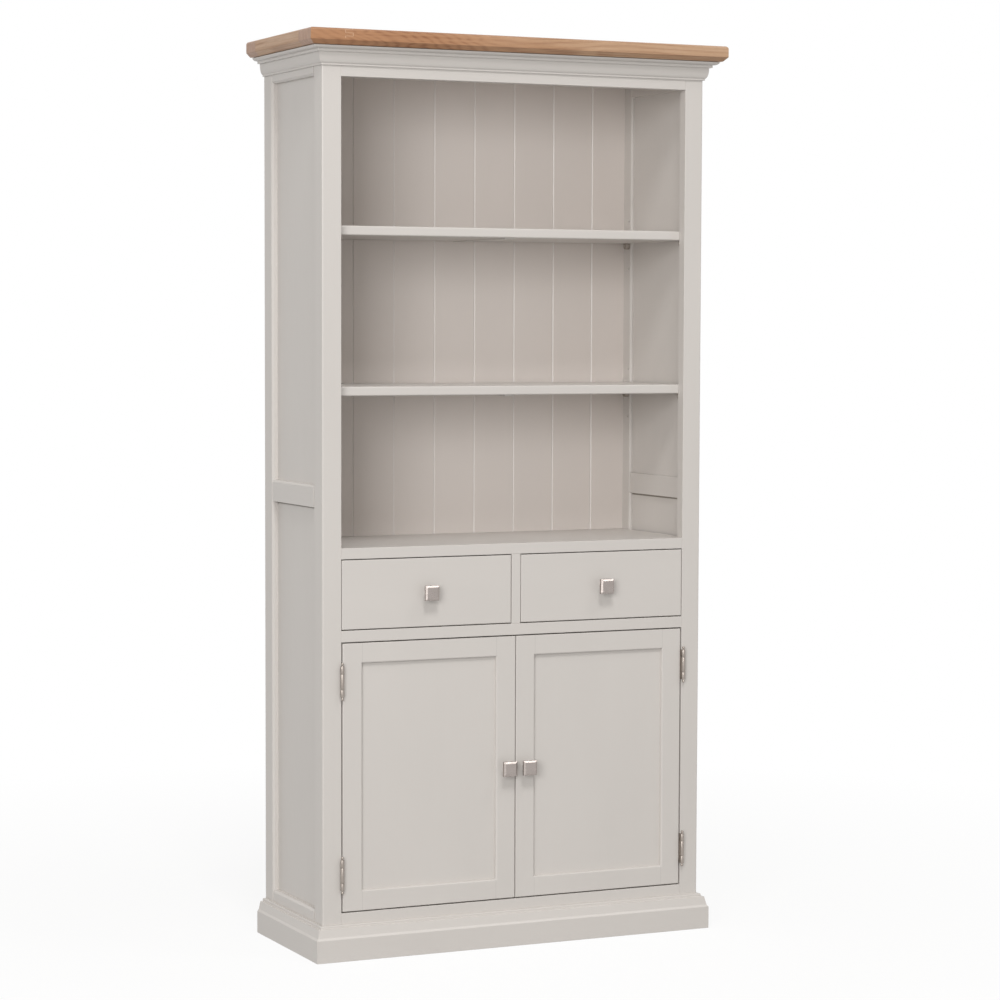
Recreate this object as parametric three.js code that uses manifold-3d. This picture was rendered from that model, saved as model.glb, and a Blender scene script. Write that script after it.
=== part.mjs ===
// A bookcase with cabinet doors: open shelves above, two drawers and two framed doors below,
// in a painted frame-and-panel carcase under an oak top.
// Millimetres. +X is the right-hand side seen from the front, -Y is the front and +Z is up.
// The origin is on the floor, in the middle of the overall width and depth.

import * as THREE from "three";
import { mergeVertices } from "three/addons/utils/BufferGeometryUtils.js";
import Module from "manifold-3d";

const wasm = await Module();
wasm.setup();

// Overall size, and the oak top that sets it
const overallWidth = 980;
const overallDepth = 380;
const overallHeight = 1950;
const topThickness = 33;
const topOverhang = 41; // beyond the carcase at the front and at both sides
const topLowerChamfer = 9;
const topUpperEase = 6;

// Heights up the front, from the floor
const doorSillHeight = 99.5;
const doorOpeningHeight = 575;
const drawerRailHeight = 24.5;
const drawerOpeningHeight = 150.5;
const deckRailHeight = 23.5;
const topRailHeight = 62;
const bottomRailHeight = 60;

// Face frame
const faceFrameThickness = 24;
const faceStileWidth = 43;
const muntinWidth = 21;

// Side frames, each with two panels held in grooves
const sideFrontStileWidth = 26;
const sideBackStileWidth = 47.5;
const sideTopRailHeight = 58;
const sideBottomRailHeight = 102;
const sideMidRailBase = 957.5; // lower edge above the floor
const sideMidRailHeight = 46.5;
const sideWindowEase = 4.5; // bevel round the windows on the outer face
const sidePanelOuterRecess = 12;
const sidePanelThickness = 4;
const sidePanelInnerRecess = 6;
const shadowGap = 4; // between the mid rail and the shoulder of the lower panel
const shadowGapDepth = 1.2; // how far each shoulder is cut back from the panel's face
const panelGrooveDepth = 5;
const panelFit = 0.3; // play of a panel in its groove

// Back panel with V grooves
const backPanelThickness = 9;
const backPanelInset = 3; // from the back edges of the sides
const backPanelBase = 60; // lower edge above the floor
const backRebateWidth = 8; // how far the panel reaches into each side
const grooveSpacing = 98.3;
const grooveWidth = 4;
const grooveDepth = 2.5;

// Horizontal boards
const ceilingThickness = 18;
const deckThickness = 20;
const runnerBoardThickness = 18;
const cupboardFloorThickness = 18;
const cupboardShelfThickness = 18;
const cupboardShelfSetback = 25; // behind the face frame
const cupboardShelfHeightShare = 0.5; // of the door opening
const drawerGuideHeight = 24;
const drawerGuideEndGap = 20; // between the middle guide and the back panel

// Adjustable shelves and the supports that pin them to the sides
const lowerShelfShare = 0.324; // height of its underside above the deck, as a share of the open height
const upperShelfShare = 0.667;
const shelfThickness = 20;
const shelfEase = 3;
const shelfEndPlay = 0.8;
const shelfFrontPlay = 0.5;
const shelfBackPlay = 2;
const battenWidth = 22;
const battenHeight = 3;
const battenSetback = 14; // from the front and back edges of the shelf
const pinHoleRadius = 2.5;
const pinHoleDepth = 10;
const pinHoleSpacing = 54;
const pinHoleLand = 3; // wood between a pin hole and the groove for the side panel
const pinHoleDrop = 4.5; // below the underside of the shelf
const pinFit = 0.2; // play of a pin in its hole, all round and at its end
const supportWidth = 14;
const supportCheekHeight = 6; // straight part above the round bottom
const supportLength = 11;
const seatGap = 0.3; // between pieces that rest on one another

// Cornice under the top: foot fillet, ovolo, fillet and crown ovolo
const corniceCrownHeight = 7.5;
const corniceProjection = 27;
const corniceFootProjection = 3.5;
const corniceFootHeight = 4;
const corniceOvoloProjection = 10;
const corniceOvoloHeight = 23;
const corniceFilletProjection = 15.5;
const corniceFilletHeight = 5.5;
const corniceCrownSetback = 1.5; // of the crown ovolo's foot, beyond the fillet
const mitreGap = 0.2; // each mitred end is cut back by this much

// Plinth: flat face, chamfer, sloped neck and a bead at the top
const plinthProjection = 20;
const plinthFaceHeight = 48;
const plinthShoulderProjection = 16.5;
const plinthShoulderHeight = 4.5;
const plinthNeckProjection = 12.5;
const plinthNeckHeight = 17.5;
const plinthBeadProjection = 7;
const plinthBeadHeight = 6;
const plinthBeadEase = 1.2;

// Drawers
const drawerFrontThickness = 22;
const drawerFrontEase = 1.5;
const drawerSideGap = 1.5;
const drawerTopGap = 2;
const drawerBottomGap = 1.5;
const drawerBoardThickness = 12;
const drawerBoxBackGap = 27; // between the closed box and the back panel
const drawerBoxSidePlay = 2.5;
const drawerBoxTopPlay = 4.5;
const drawerRunningGap = 0.4;
const drawerBottomThickness = 6;
const drawerBottomHeight = 10; // its underside above the runners
const drawerGrooveDepth = 5;

// Doors
const doorThickness = 22;
const doorEase = 1.5;
const doorMeetingGap = 2;
const doorTopGap = 2;
const doorBottomGap = 2;
const doorStileWidth = 45;
const doorRailHeight = 43;
const doorPanelThickness = 6;
const doorPanelRecess = 8;
const doorWindowEase = 2.5;

// Butt hinges with ball finials
const hingeMiddleKnuckleLength = 33;
const hingeEndKnuckleLength = 16.2;
const hingeInset = 80; // from the end of the door to the middle of the hinge
const hingeAxisProud = 7.5; // in front of the face
const hingeAxisOffset = 2.5; // outwards from the middle of the gap
const hingeLeafThickness = 1.2;
const hingeLeafPlay = 0.2; // beside and between the leaves, in the gap
const hingeLeafReach = 20; // how far a leaf reaches behind the face
const hingeKnuckleRadius = 4.1;
const hingePinRadius = 1.6;
const hingeRunningGap = 0.3;
const hingeSweepGap = 0.9; // between a leaf and the other leaf's knuckle
const finialRadius = 2.9;
const finialNeckRadius = 1.8;
const finialNeckLength = 1.4;

// Square knobs
const knobSize = 32;
const knobProjection = 28.5;
const knobPlateThickness = 9.5;
const knobEase = 2.5; // bevel round the face, twice the bevel at the back
const knobDomeRise = 0.6;
const knobDomeFlatShare = 0.6; // width of the flat middle of the face, as a share of the face
const knobStemRadius = 5;
const knobFlangeRadius = 6.6;
const knobFlangeThickness = 1.5;

// Magnetic catch behind the rail, over the meeting of the doors
const catchWidth = 60;
const catchHeight = 24;
const catchDepth = 34;
const catchEase = 2;
const catchDoorGap = 0.4;

// How finely round forms are divided
const cutOverrun = 2; // how far a cutter passes beyond the face it opens
const ovoloSteps = 5;
const easeSteps = 3;
const barrelSides = 20;
const finialSteps = 6;
const stemSides = 24;
const pinSides = 12;
const supportSteps = 8;

// Levels and lines worked out from the sizes above
const carcaseHalf = overallWidth / 2 - topOverhang;
const openingHalf = carcaseHalf - faceStileWidth;
const innerHalf = carcaseHalf - sidePanelOuterRecess - sidePanelThickness - sidePanelInnerRecess;
const backY = overallDepth / 2;
const faceY = topOverhang - backY;
const frameBackY = faceY + faceFrameThickness;
const backPanelY = backY - backPanelInset - backPanelThickness;
const topUndersideZ = overallHeight - topThickness;
const openingHeadZ = topUndersideZ - topRailHeight;
const doorSillZ = doorSillHeight;
const doorHeadZ = doorSillZ + doorOpeningHeight;
const drawerSillZ = doorHeadZ + drawerRailHeight;
const drawerHeadZ = drawerSillZ + drawerOpeningHeight;
const deckZ = drawerHeadZ + deckRailHeight;
const openHeight = openingHeadZ - deckZ;
const lowerShelfZ = deckZ + openHeight * lowerShelfShare;
const upperShelfZ = deckZ + openHeight * upperShelfShare;
const runnerBoardBaseZ = drawerSillZ - runnerBoardThickness;
const doorHingeGap = 2 * hingeLeafThickness + 3 * hingeLeafPlay;
const hingeLength = hingeMiddleKnuckleLength + 2 * (hingeRunningGap + hingeEndKnuckleLength);

// Finishes
const paintFinish = { color: 0xcbc6bf, roughness: 0.42, metalness: 0 };
const insidePaintFinish = { color: 0xc3bbb2, roughness: 0.5, metalness: 0 };
const oakFinish = { color: 0xc69a6d, roughness: 0.5, metalness: 0 };
const drawerWoodFinish = { color: 0xd8c3a0, roughness: 0.6, metalness: 0 };
const nickelFinish = { color: 0xb3aca6, roughness: 0.32, metalness: 1 };
const catchFinish = { color: 0xe6e2da, roughness: 0.45, metalness: 0 };

// Turns a closed geometry's faces outwards, whichever way round it was made.
function facedOutwards(geometry) {
  const place = geometry.getAttribute("position");
  const index = geometry.index.array;
  const [a, b, c] = [new THREE.Vector3(), new THREE.Vector3(), new THREE.Vector3()];
  let volume = 0;
  for (let i = 0; i < index.length; i += 3) {
    a.fromBufferAttribute(place, index[i]);
    b.fromBufferAttribute(place, index[i + 1]);
    c.fromBufferAttribute(place, index[i + 2]);
    volume += a.dot(b.cross(c));
  }
  if (volume < 0) index.reverse();
  return geometry;
}

// A closed solid through stations, each of which turns an outline point [u, v] into [x, y, z].
function loft(outline, stations) {
  const flat = outline.map(([u, v]) => new THREE.Vector2(u, v));
  if (THREE.ShapeUtils.area(flat) < 0) flat.reverse();
  const count = flat.length;
  const places = stations.flatMap((station) => flat.map(({ x, y }) => station(x, y)));
  const index = [];
  for (let ring = 0; ring + 1 < stations.length; ring++) {
    for (let i = 0; i < count; i++) {
      const a = ring * count + i;
      const b = ring * count + ((i + 1) % count);
      index.push(a, b, b + count, a, b + count, a + count);
    }
  }
  const last = (stations.length - 1) * count;
  for (const [a, b, c] of THREE.ShapeUtils.triangulateShape(flat, [])) {
    index.push(c, b, a, last + a, last + b, last + c);
  }
  const geometry = new THREE.BufferGeometry();
  geometry.setAttribute("position", new THREE.Float32BufferAttribute(places.flat(), 3));
  geometry.setIndex(index);
  return facedOutwards(geometry);
}

// A plain board between two limits on each axis.
function board([x0, x1], [y0, y1], [z0, z1]) {
  const corners = [[x0, z0], [x1, z0], [x1, z1], [x0, z1]];
  return loft(corners, [(x, z) => [x, y0, z], (x, z) => [x, y1, z]]);
}

// A rectangle in X and Z carried along Y, drawn in or let out by a margin at each station.
function slab([x0, x1], [z0, z1], stations) {
  const corners = [[x0, z0], [x1, z0], [x1, z1], [x0, z1]];
  const middleX = (x0 + x1) / 2;
  const middleZ = (z0 + z1) / 2;
  const ring = ([y, margin]) => (x, z) => [
    x - Math.sign(x - middleX) * margin,
    y,
    z - Math.sign(z - middleZ) * margin,
  ];
  return loft(corners, stations.map(ring));
}

// Points of a quarter ellipse, bulging outwards and downwards, from its foot to its upright top.
function ovolo(footU, footV, topU, topV) {
  return Array.from({ length: ovoloSteps + 1 }, (_, i) => {
    const turn = (i / ovoloSteps) * (Math.PI / 2);
    return [
      footU + (topU - footU) * Math.sin(turn),
      topV - (topV - footV) * Math.cos(turn),
    ];
  });
}

function mirrored(geometry) {
  const copy = geometry.clone();
  copy.getAttribute("position").applyMatrix4(new THREE.Matrix4().makeScale(-1, 1, 1));
  return facedOutwards(copy);
}

function solidOf(geometry) {
  const bare = geometry.clone();
  bare.deleteAttribute("normal");
  bare.deleteAttribute("uv");
  const merged = mergeVertices(bare, 1e-4);
  return new wasm.Manifold(
    new wasm.Mesh({
      numProp: 3,
      vertProperties: new Float32Array(merged.getAttribute("position").array),
      triVerts: new Uint32Array(merged.index.array),
    }),
  );
}

function geometryOf(solid) {
  const { vertProperties, triVerts } = solid.getMesh();
  const geometry = new THREE.BufferGeometry();
  geometry.setAttribute("position", new THREE.BufferAttribute(vertProperties, 3));
  geometry.setIndex(new THREE.BufferAttribute(triVerts, 1));
  return geometry;
}

function joined(...geometries) {
  return geometryOf(geometries.map(solidOf).reduce((whole, next) => whole.add(next)));
}

function cut(geometry, ...cutters) {
  const start = solidOf(geometry);
  return geometryOf(cutters.map(solidOf).reduce((rest, cutter) => rest.subtract(cutter), start));
}

// A round solid about an upright axis, from a profile of [radius, height] points.
function turned(profile, sides) {
  const points = profile.map(([radius, height]) => new THREE.Vector2(radius, height));
  return new THREE.LatheGeometry(points, sides).rotateX(Math.PI / 2);
}

// A round bar lying along X between two limits.
function barAlongX(radius, x0, x1, y, z, sides) {
  const bar = new THREE.CylinderGeometry(radius, radius, x1 - x0, sides).rotateZ(Math.PI / 2);
  return bar.translate((x0 + x1) / 2, y, z);
}

function piece(group, name, geometry, finish) {
  geometry.computeVertexNormals();
  const mesh = new THREE.Mesh(geometry, new THREE.MeshStandardMaterial(finish));
  mesh.name = name;
  group.add(mesh);
  return mesh;
}

const bookcase = new THREE.Group();
const carcase = new THREE.Group();
bookcase.add(carcase);

// The oak top is square at the back, and eased above and chamfered below at the front and sides.
function addTop() {
  const half = overallWidth / 2;
  const corners = [[-half, -backY], [half, -backY], [half, backY], [-half, backY]];
  const level = (z, margin) => (x, y) => [x - Math.sign(x) * margin, y < 0 ? y + margin : y, z];
  const top = loft(corners, [
    level(topUndersideZ, topLowerChamfer),
    level(topUndersideZ + topLowerChamfer, 0),
    level(overallHeight - topUpperEase, 0),
    level(overallHeight, topUpperEase),
  ]);
  piece(carcase, "oak_top", top, oakFinish);
}

// A moulding round the front and sides of the carcase, mitred at the front corners.
function addMoulding(name, profile, baseZ) {
  const frontEnd = (hand) => (u, v) => [hand * (carcaseHalf + u - mitreGap), faceY - u, baseZ + v];
  piece(carcase, name + "_front", loft(profile, [frontEnd(-1), frontEnd(1)]), paintFinish);
  const side = loft(profile, [
    (u, v) => [-carcaseHalf - u, faceY - u + mitreGap, baseZ + v],
    (u, v) => [-carcaseHalf - u, backY, baseZ + v],
  ]);
  piece(carcase, name + "_left", side, paintFinish);
  piece(carcase, name + "_right", mirrored(side), paintFinish);
}

function addCornice() {
  const ovoloTop = corniceFootHeight + corniceOvoloHeight;
  const crownFoot = ovoloTop + corniceFilletHeight;
  const height = crownFoot + corniceCrownHeight;
  const upperLimit = height - seatGap;
  const profile = [
    [seatGap, 0],
    [corniceFootProjection, 0],
    ...ovolo(corniceFootProjection, corniceFootHeight, corniceOvoloProjection, ovoloTop),
    [corniceFilletProjection, ovoloTop],
    [corniceFilletProjection, crownFoot],
    ...ovolo(corniceFilletProjection + corniceCrownSetback, crownFoot, corniceProjection, upperLimit),
    [seatGap, upperLimit],
  ];
  addMoulding("cornice", profile, topUndersideZ - height);
}

function addPlinth() {
  const shoulderTop = plinthFaceHeight + plinthShoulderHeight;
  const neckTop = shoulderTop + plinthNeckHeight;
  const beadTop = neckTop + plinthBeadHeight;
  const profile = [
    [seatGap, 0],
    [plinthProjection, 0],
    [plinthProjection, plinthFaceHeight],
    [plinthShoulderProjection, shoulderTop],
    [plinthNeckProjection, neckTop],
    [plinthBeadProjection, neckTop],
    [plinthBeadProjection, beadTop - plinthBeadEase],
    [plinthBeadProjection - plinthBeadEase, beadTop],
    [seatGap, beadTop],
  ];
  addMoulding("plinth", profile, 0);
}

function addFaceFrame() {
  const depth = [faceY, frameBackY];
  const stile = board([-carcaseHalf, -openingHalf], depth, [0, topUndersideZ]);
  piece(carcase, "face_stile_left", stile, paintFinish);
  piece(carcase, "face_stile_right", mirrored(stile), paintFinish);
  const rails = {
    face_rail_top: [openingHeadZ, topUndersideZ],
    face_rail_above_drawers: [drawerHeadZ, deckZ],
    face_rail_above_doors: [doorHeadZ, drawerSillZ],
    face_rail_bottom: [doorSillZ - bottomRailHeight, doorSillZ],
  };
  for (const [name, height] of Object.entries(rails)) {
    piece(carcase, name, board([-openingHalf, openingHalf], depth, height), paintFinish);
  }
  const muntin = board([-muntinWidth / 2, muntinWidth / 2], depth, [drawerSillZ, drawerHeadZ]);
  piece(carcase, "drawer_muntin", muntin, paintFinish);
}

// Where the pins of a shelf stand: their two places along Y, in the stiles, and their height.
const pinInset = panelGrooveDepth + pinHoleLand + pinHoleRadius;
const pinRows = [frameBackY + sideFrontStileWidth - pinInset, backY - sideBackStileWidth + pinInset];
const pinHeight = (shelfZ) => shelfZ - pinHoleDrop;

// A frame with two windows, grooved for its panels and bored for the shelf pins.
function addSides() {
  const depth = [frameBackY + sideFrontStileWidth, backY - sideBackStileWidth];
  const midRailTop = sideMidRailBase + sideMidRailHeight;
  const windows = {
    lower: [sideBottomRailHeight, sideMidRailBase],
    upper: [midRailTop, topUndersideZ - sideTopRailHeight],
  };
  const panelOuter = -carcaseHalf + sidePanelOuterRecess;
  const panelInner = panelOuter + sidePanelThickness;
  const cutters = [];
  for (const [name, [z0, z1]] of Object.entries(windows)) {
    const [y0, y1] = depth;
    cutters.push(board([-carcaseHalf - cutOverrun, -innerHalf + cutOverrun], depth, [z0, z1]));
    const reach = panelGrooveDepth;
    cutters.push(board(
      [panelOuter - panelFit, panelInner + panelFit],
      [y0 - reach, y1 + reach],
      [z0 - reach, z1 + reach],
    ));
    const corners = [[y0, z0], [y1, z0], [y1, z1], [y0, z1]];
    const away = (value, low, by) => (value > low ? value + by : value - by);
    const headShare = name === "lower" ? 0 : 1; // the edge under the mid rail stays square
    const flare = (x, margin) => (y, z) => {
      const z2 = z > z0 ? z + headShare * margin : z - margin;
      return [x, away(y, y0, margin), z2];
    };
    cutters.push(loft(corners, [
      flare(-carcaseHalf - cutOverrun, sideWindowEase + cutOverrun),
      flare(-carcaseHalf + sideWindowEase, 0),
    ]));
    const tuck = reach - panelFit;
    let panel = board([panelOuter, panelInner], [y0 - tuck, y1 + tuck], [z0 - tuck, z1 + tuck]);
    if (name === "lower") {
      const shoulder = [z1 - shadowGap, z1 + tuck + cutOverrun];
      const across = [y0 - tuck - cutOverrun, y1 + tuck + cutOverrun];
      panel = cut(
        panel,
        board([panelOuter - cutOverrun, panelOuter + shadowGapDepth], across, shoulder),
        board([panelInner - shadowGapDepth, panelInner + cutOverrun], across, shoulder),
      );
    }
    piece(carcase, "side_panel_" + name + "_left", panel, paintFinish);
    piece(carcase, "side_panel_" + name + "_right", mirrored(panel), paintFinish);
  }
  const rebateX = -innerHalf - backRebateWidth;
  cutters.push(board([rebateX, -innerHalf + cutOverrun], [backPanelY, backY + cutOverrun], [
    backPanelBase - seatGap,
    topUndersideZ + cutOverrun,
  ]));
  for (const shelfZ of [lowerShelfZ, upperShelfZ]) {
    for (const row of pinRows) {
      for (const step of [-1, 0, 1]) {
        const z = pinHeight(shelfZ) + step * pinHoleSpacing;
        const holeEnd = -innerHalf + cutOverrun;
        cutters.push(barAlongX(pinHoleRadius, -innerHalf - pinHoleDepth, holeEnd, row, z, pinSides));
      }
    }
  }
  const frame = cut(board([-carcaseHalf, -innerHalf], [frameBackY, backY], [0, topUndersideZ]), ...cutters);
  piece(carcase, "side_frame_left", frame, paintFinish);
  piece(carcase, "side_frame_right", mirrored(frame), paintFinish);
}

// A sheet with upright V grooves, set out evenly from its middle.
function addBackPanel() {
  const half = innerHalf + backRebateWidth - panelFit;
  const front = [];
  const grooves = Math.floor(innerHalf / grooveSpacing - 1 / 2);
  for (let i = -grooves - 1; i <= grooves; i++) {
    const x = (i + 1 / 2) * grooveSpacing;
    front.push([x - grooveWidth / 2, backPanelY]);
    front.push([x, backPanelY + grooveDepth]);
    front.push([x + grooveWidth / 2, backPanelY]);
  }
  const backFace = backPanelY + backPanelThickness;
  const outline = [[-half, backPanelY], ...front, [half, backPanelY], [half, backFace], [-half, backFace]];
  const panel = loft(outline, [
    (x, y) => [x, y, backPanelBase],
    (x, y) => [x, y, topUndersideZ - seatGap],
  ]);
  piece(carcase, "back_panel", panel, insidePaintFinish);
}

function addFixedBoards() {
  const across = [-innerHalf, innerHalf];
  const depth = [frameBackY, backPanelY];
  const ceiling = board(across, depth, [topUndersideZ - ceilingThickness, topUndersideZ - seatGap]);
  piece(carcase, "ceiling_board", ceiling, insidePaintFinish);
  piece(carcase, "deck_board", board(across, depth, [deckZ - deckThickness, deckZ]), paintFinish);
  const floor = board(across, depth, [doorSillZ - cupboardFloorThickness, doorSillZ]);
  piece(carcase, "cupboard_floor", floor, insidePaintFinish);
  const shelfZ = doorSillZ + doorOpeningHeight * cupboardShelfHeightShare;
  const shelfDepth = [frameBackY + cupboardShelfSetback, backPanelY];
  const shelf = board(across, shelfDepth, [shelfZ, shelfZ + cupboardShelfThickness]);
  piece(carcase, "cupboard_shelf", shelf, insidePaintFinish);
}

// The board that carries the drawers, with guides beside and between them.
function addRunnerBoard() {
  const base = board([-innerHalf, innerHalf], [frameBackY, backPanelY], [runnerBoardBaseZ, drawerSillZ]);
  const guideHeight = [runnerBoardBaseZ, drawerSillZ + drawerGuideHeight];
  const guideDepth = [frameBackY, backPanelY - drawerGuideEndGap];
  const sideGuide = board([-innerHalf, -openingHalf], guideDepth, guideHeight);
  const middleGuide = board([-muntinWidth / 2, muntinWidth / 2], guideDepth, guideHeight);
  const whole = joined(base, sideGuide, mirrored(sideGuide), middleGuide);
  piece(carcase, "drawer_runner_board", whole, drawerWoodFinish);
}

// A loose shelf with eased long edges and a stiffening batten under its middle.
function addShelf(name, shelfZ) {
  const front = frameBackY + shelfFrontPlay;
  const back = backPanelY - shelfBackPlay;
  const half = innerHalf - shelfEndPlay;
  const corner = (centreZ, from) => Array.from({ length: easeSteps + 1 }, (_, i) => {
    const turn = from + (i / easeSteps) * (Math.PI / 2);
    return [front + shelfEase - shelfEase * Math.cos(turn), centreZ + shelfEase * Math.sin(turn)];
  });
  const outline = [
    ...corner(shelfZ + shelfEase, -Math.PI / 2),
    ...corner(shelfZ + shelfThickness - shelfEase, 0),
    [back, shelfZ + shelfThickness],
    [back, shelfZ],
  ];
  const plank = loft(outline, [(y, z) => [-half, y, z], (y, z) => [half, y, z]]);
  const batten = board(
    [-battenWidth / 2, battenWidth / 2],
    [front + battenSetback, back - battenSetback],
    [shelfZ - battenHeight, shelfZ + shelfThickness / 2],
  );
  piece(carcase, name, joined(plank, batten), paintFinish);
}

// A support is a pin in its hole, with a round-bottomed block under the end of the shelf.
function addShelfSupports(name, shelfZ) {
  const top = shelfZ - seatGap;
  const half = supportWidth / 2;
  const bottom = Array.from({ length: supportSteps + 1 }, (_, i) => {
    const turn = (i / supportSteps) * Math.PI;
    return [half * Math.cos(turn), top - supportCheekHeight - half * Math.sin(turn)];
  });
  const outline = [[-half, top], [half, top], ...bottom];
  const blockX = -innerHalf + seatGap;
  const blockEnd = blockX + supportLength;
  pinRows.forEach((row, i) => {
    const block = loft(outline, [(y, z) => [blockX, row + y, z], (y, z) => [blockEnd, row + y, z]]);
    const pinStart = -innerHalf - pinHoleDepth + pinFit;
    const pinEnd = blockX + supportLength / 2;
    const pin = barAlongX(pinHoleRadius - pinFit, pinStart, pinEnd, row, pinHeight(shelfZ), pinSides);
    const support = joined(block, pin);
    const end = i ? "back" : "front";
    piece(carcase, name + "_" + end + "_left", support, nickelFinish);
    piece(carcase, name + "_" + end + "_right", mirrored(support), nickelFinish);
  });
}

// A catch under the runner board, just behind the closed doors.
function addDoorCatch() {
  const front = faceY + doorThickness + catchDoorGap;
  const body = slab(
    [-catchWidth / 2, catchWidth / 2],
    [runnerBoardBaseZ - catchHeight, runnerBoardBaseZ],
    [[front, catchEase], [front + catchEase, 0], [front + catchDepth, 0]],
  );
  const slot = board(
    [-openingHalf, openingHalf],
    [faceY, frameBackY],
    [doorHeadZ - seatGap, runnerBoardBaseZ + cutOverrun],
  );
  piece(carcase, "door_catch", cut(body, slot), catchFinish);
}

// A square knob with a bevelled, barely domed face, standing off on a round stem.
// Its foot is at the origin.
function knobGeometry() {
  const half = knobSize / 2;
  const corners = [[-1, -1], [1, -1], [1, 1], [-1, 1]];
  const square = (y, reach) => (u, v) => [u * reach, y, v * reach];
  const faceHalf = half - knobEase;
  const plate = loft(corners, [
    square(-knobProjection, faceHalf * knobDomeFlatShare),
    square(-knobProjection + knobDomeRise, faceHalf),
    square(-knobProjection + knobDomeRise + knobEase, half),
    square(-knobProjection + knobPlateThickness - knobEase / 2, half),
    square(-knobProjection + knobPlateThickness, half - knobEase / 2),
  ]);
  const stem = turned([
    [0, 0],
    [knobFlangeRadius, 0],
    [knobFlangeRadius, knobFlangeThickness],
    [knobStemRadius, 2 * knobFlangeThickness],
    [knobStemRadius, knobProjection - knobPlateThickness / 2],
    [0, knobProjection - knobPlateThickness / 2],
  ], stemSides).rotateX(Math.PI / 2);
  return joined(plate, stem);
}

// A drawer in its own frame: origin on the face, at the middle of the sill of its opening.
function addDrawer(side, hand) {
  const openingWidth = openingHalf - muntinWidth / 2;
  const drawer = new THREE.Group();
  drawer.position.set(hand * (muntinWidth + openingWidth) / 2, faceY, drawerSillZ);
  bookcase.add(drawer);

  const outer = openingWidth / 2 - drawerBoxSidePlay;
  const inner = outer - drawerBoardThickness;
  const boxFront = drawerFrontThickness;
  const boxBack = backPanelY - drawerBoxBackGap - faceY;
  const boxHeight = [drawerRunningGap, drawerOpeningHeight - drawerBoxTopPlay];
  const bottomTop = drawerBottomHeight + drawerBottomThickness;
  const groove = board(
    [-inner - drawerGrooveDepth, inner + drawerGrooveDepth],
    [boxFront - drawerGrooveDepth, boxBack - drawerBoardThickness + drawerGrooveDepth],
    [drawerBottomHeight - panelFit, bottomTop + panelFit],
  );

  const frontHalf = openingWidth / 2 - drawerSideGap;
  const frontHeight = [drawerBottomGap, drawerOpeningHeight - drawerTopGap];
  const front = slab([-frontHalf, frontHalf], frontHeight, [
    [0, drawerFrontEase],
    [drawerFrontEase, 0],
    [drawerFrontThickness, 0],
  ]);
  piece(drawer, "drawer_front_" + side, cut(front, groove), paintFinish);

  const outside = board([-outer, outer], [boxFront, boxBack], boxHeight);
  const inside = board([-inner, inner], [boxFront - cutOverrun, boxBack - drawerBoardThickness], [
    -cutOverrun,
    drawerOpeningHeight,
  ]);
  piece(drawer, "drawer_box_" + side, cut(outside, inside, groove), drawerWoodFinish);

  const tuck = drawerGrooveDepth - panelFit;
  const bottom = board(
    [-inner - tuck, inner + tuck],
    [boxFront - tuck, boxBack - drawerBoardThickness + tuck],
    [drawerBottomHeight, bottomTop],
  );
  piece(drawer, "drawer_bottom_" + side, bottom, drawerWoodFinish);

  const knob = piece(drawer, "drawer_knob_" + side, knobGeometry(), nickelFinish);
  knob.position.z = (frontHeight[0] + frontHeight[1]) / 2;
}

const hingeAxisX = openingHalf - doorHingeGap / 2 + hingeAxisOffset;
const hingeAxisY = faceY - hingeAxisProud;
const doorHeight = doorOpeningHeight - doorTopGap - doorBottomGap;

// A left-hand door in its own frame: origin on the hinge axis, at the foot of the door.
function doorPieces() {
  const edgeX = hingeAxisX - openingHalf + doorHingeGap;
  const meetingX = hingeAxisX - doorMeetingGap / 2;
  const face = hingeAxisProud;
  const back = face + doorThickness;
  const windowX = [edgeX + doorStileWidth, meetingX - doorStileWidth];
  const windowZ = [doorRailHeight, doorHeight - doorRailHeight];
  const panelY = [face + doorPanelRecess, face + doorPanelRecess + doorPanelThickness];
  const grown = ([low, high], by) => [low - by, high + by];

  const blank = slab([edgeX, meetingX], [0, doorHeight], [[face, doorEase], [face + doorEase, 0], [back, 0]]);
  const window = board(windowX, grown([face, back], cutOverrun), windowZ);
  const flare = slab(windowX, windowZ, [
    [face - cutOverrun, -doorWindowEase - cutOverrun],
    [face + doorWindowEase, 0],
  ]);
  const groove = board(
    grown(windowX, panelGrooveDepth),
    grown(panelY, panelFit),
    grown(windowZ, panelGrooveDepth),
  );
  const tuck = panelGrooveDepth - panelFit;
  return {
    frame: cut(blank, window, flare, groove),
    panel: board(grown(windowX, tuck), panelY, grown(windowZ, tuck)),
    knobX: meetingX - doorStileWidth / 2,
  };
}

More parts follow.
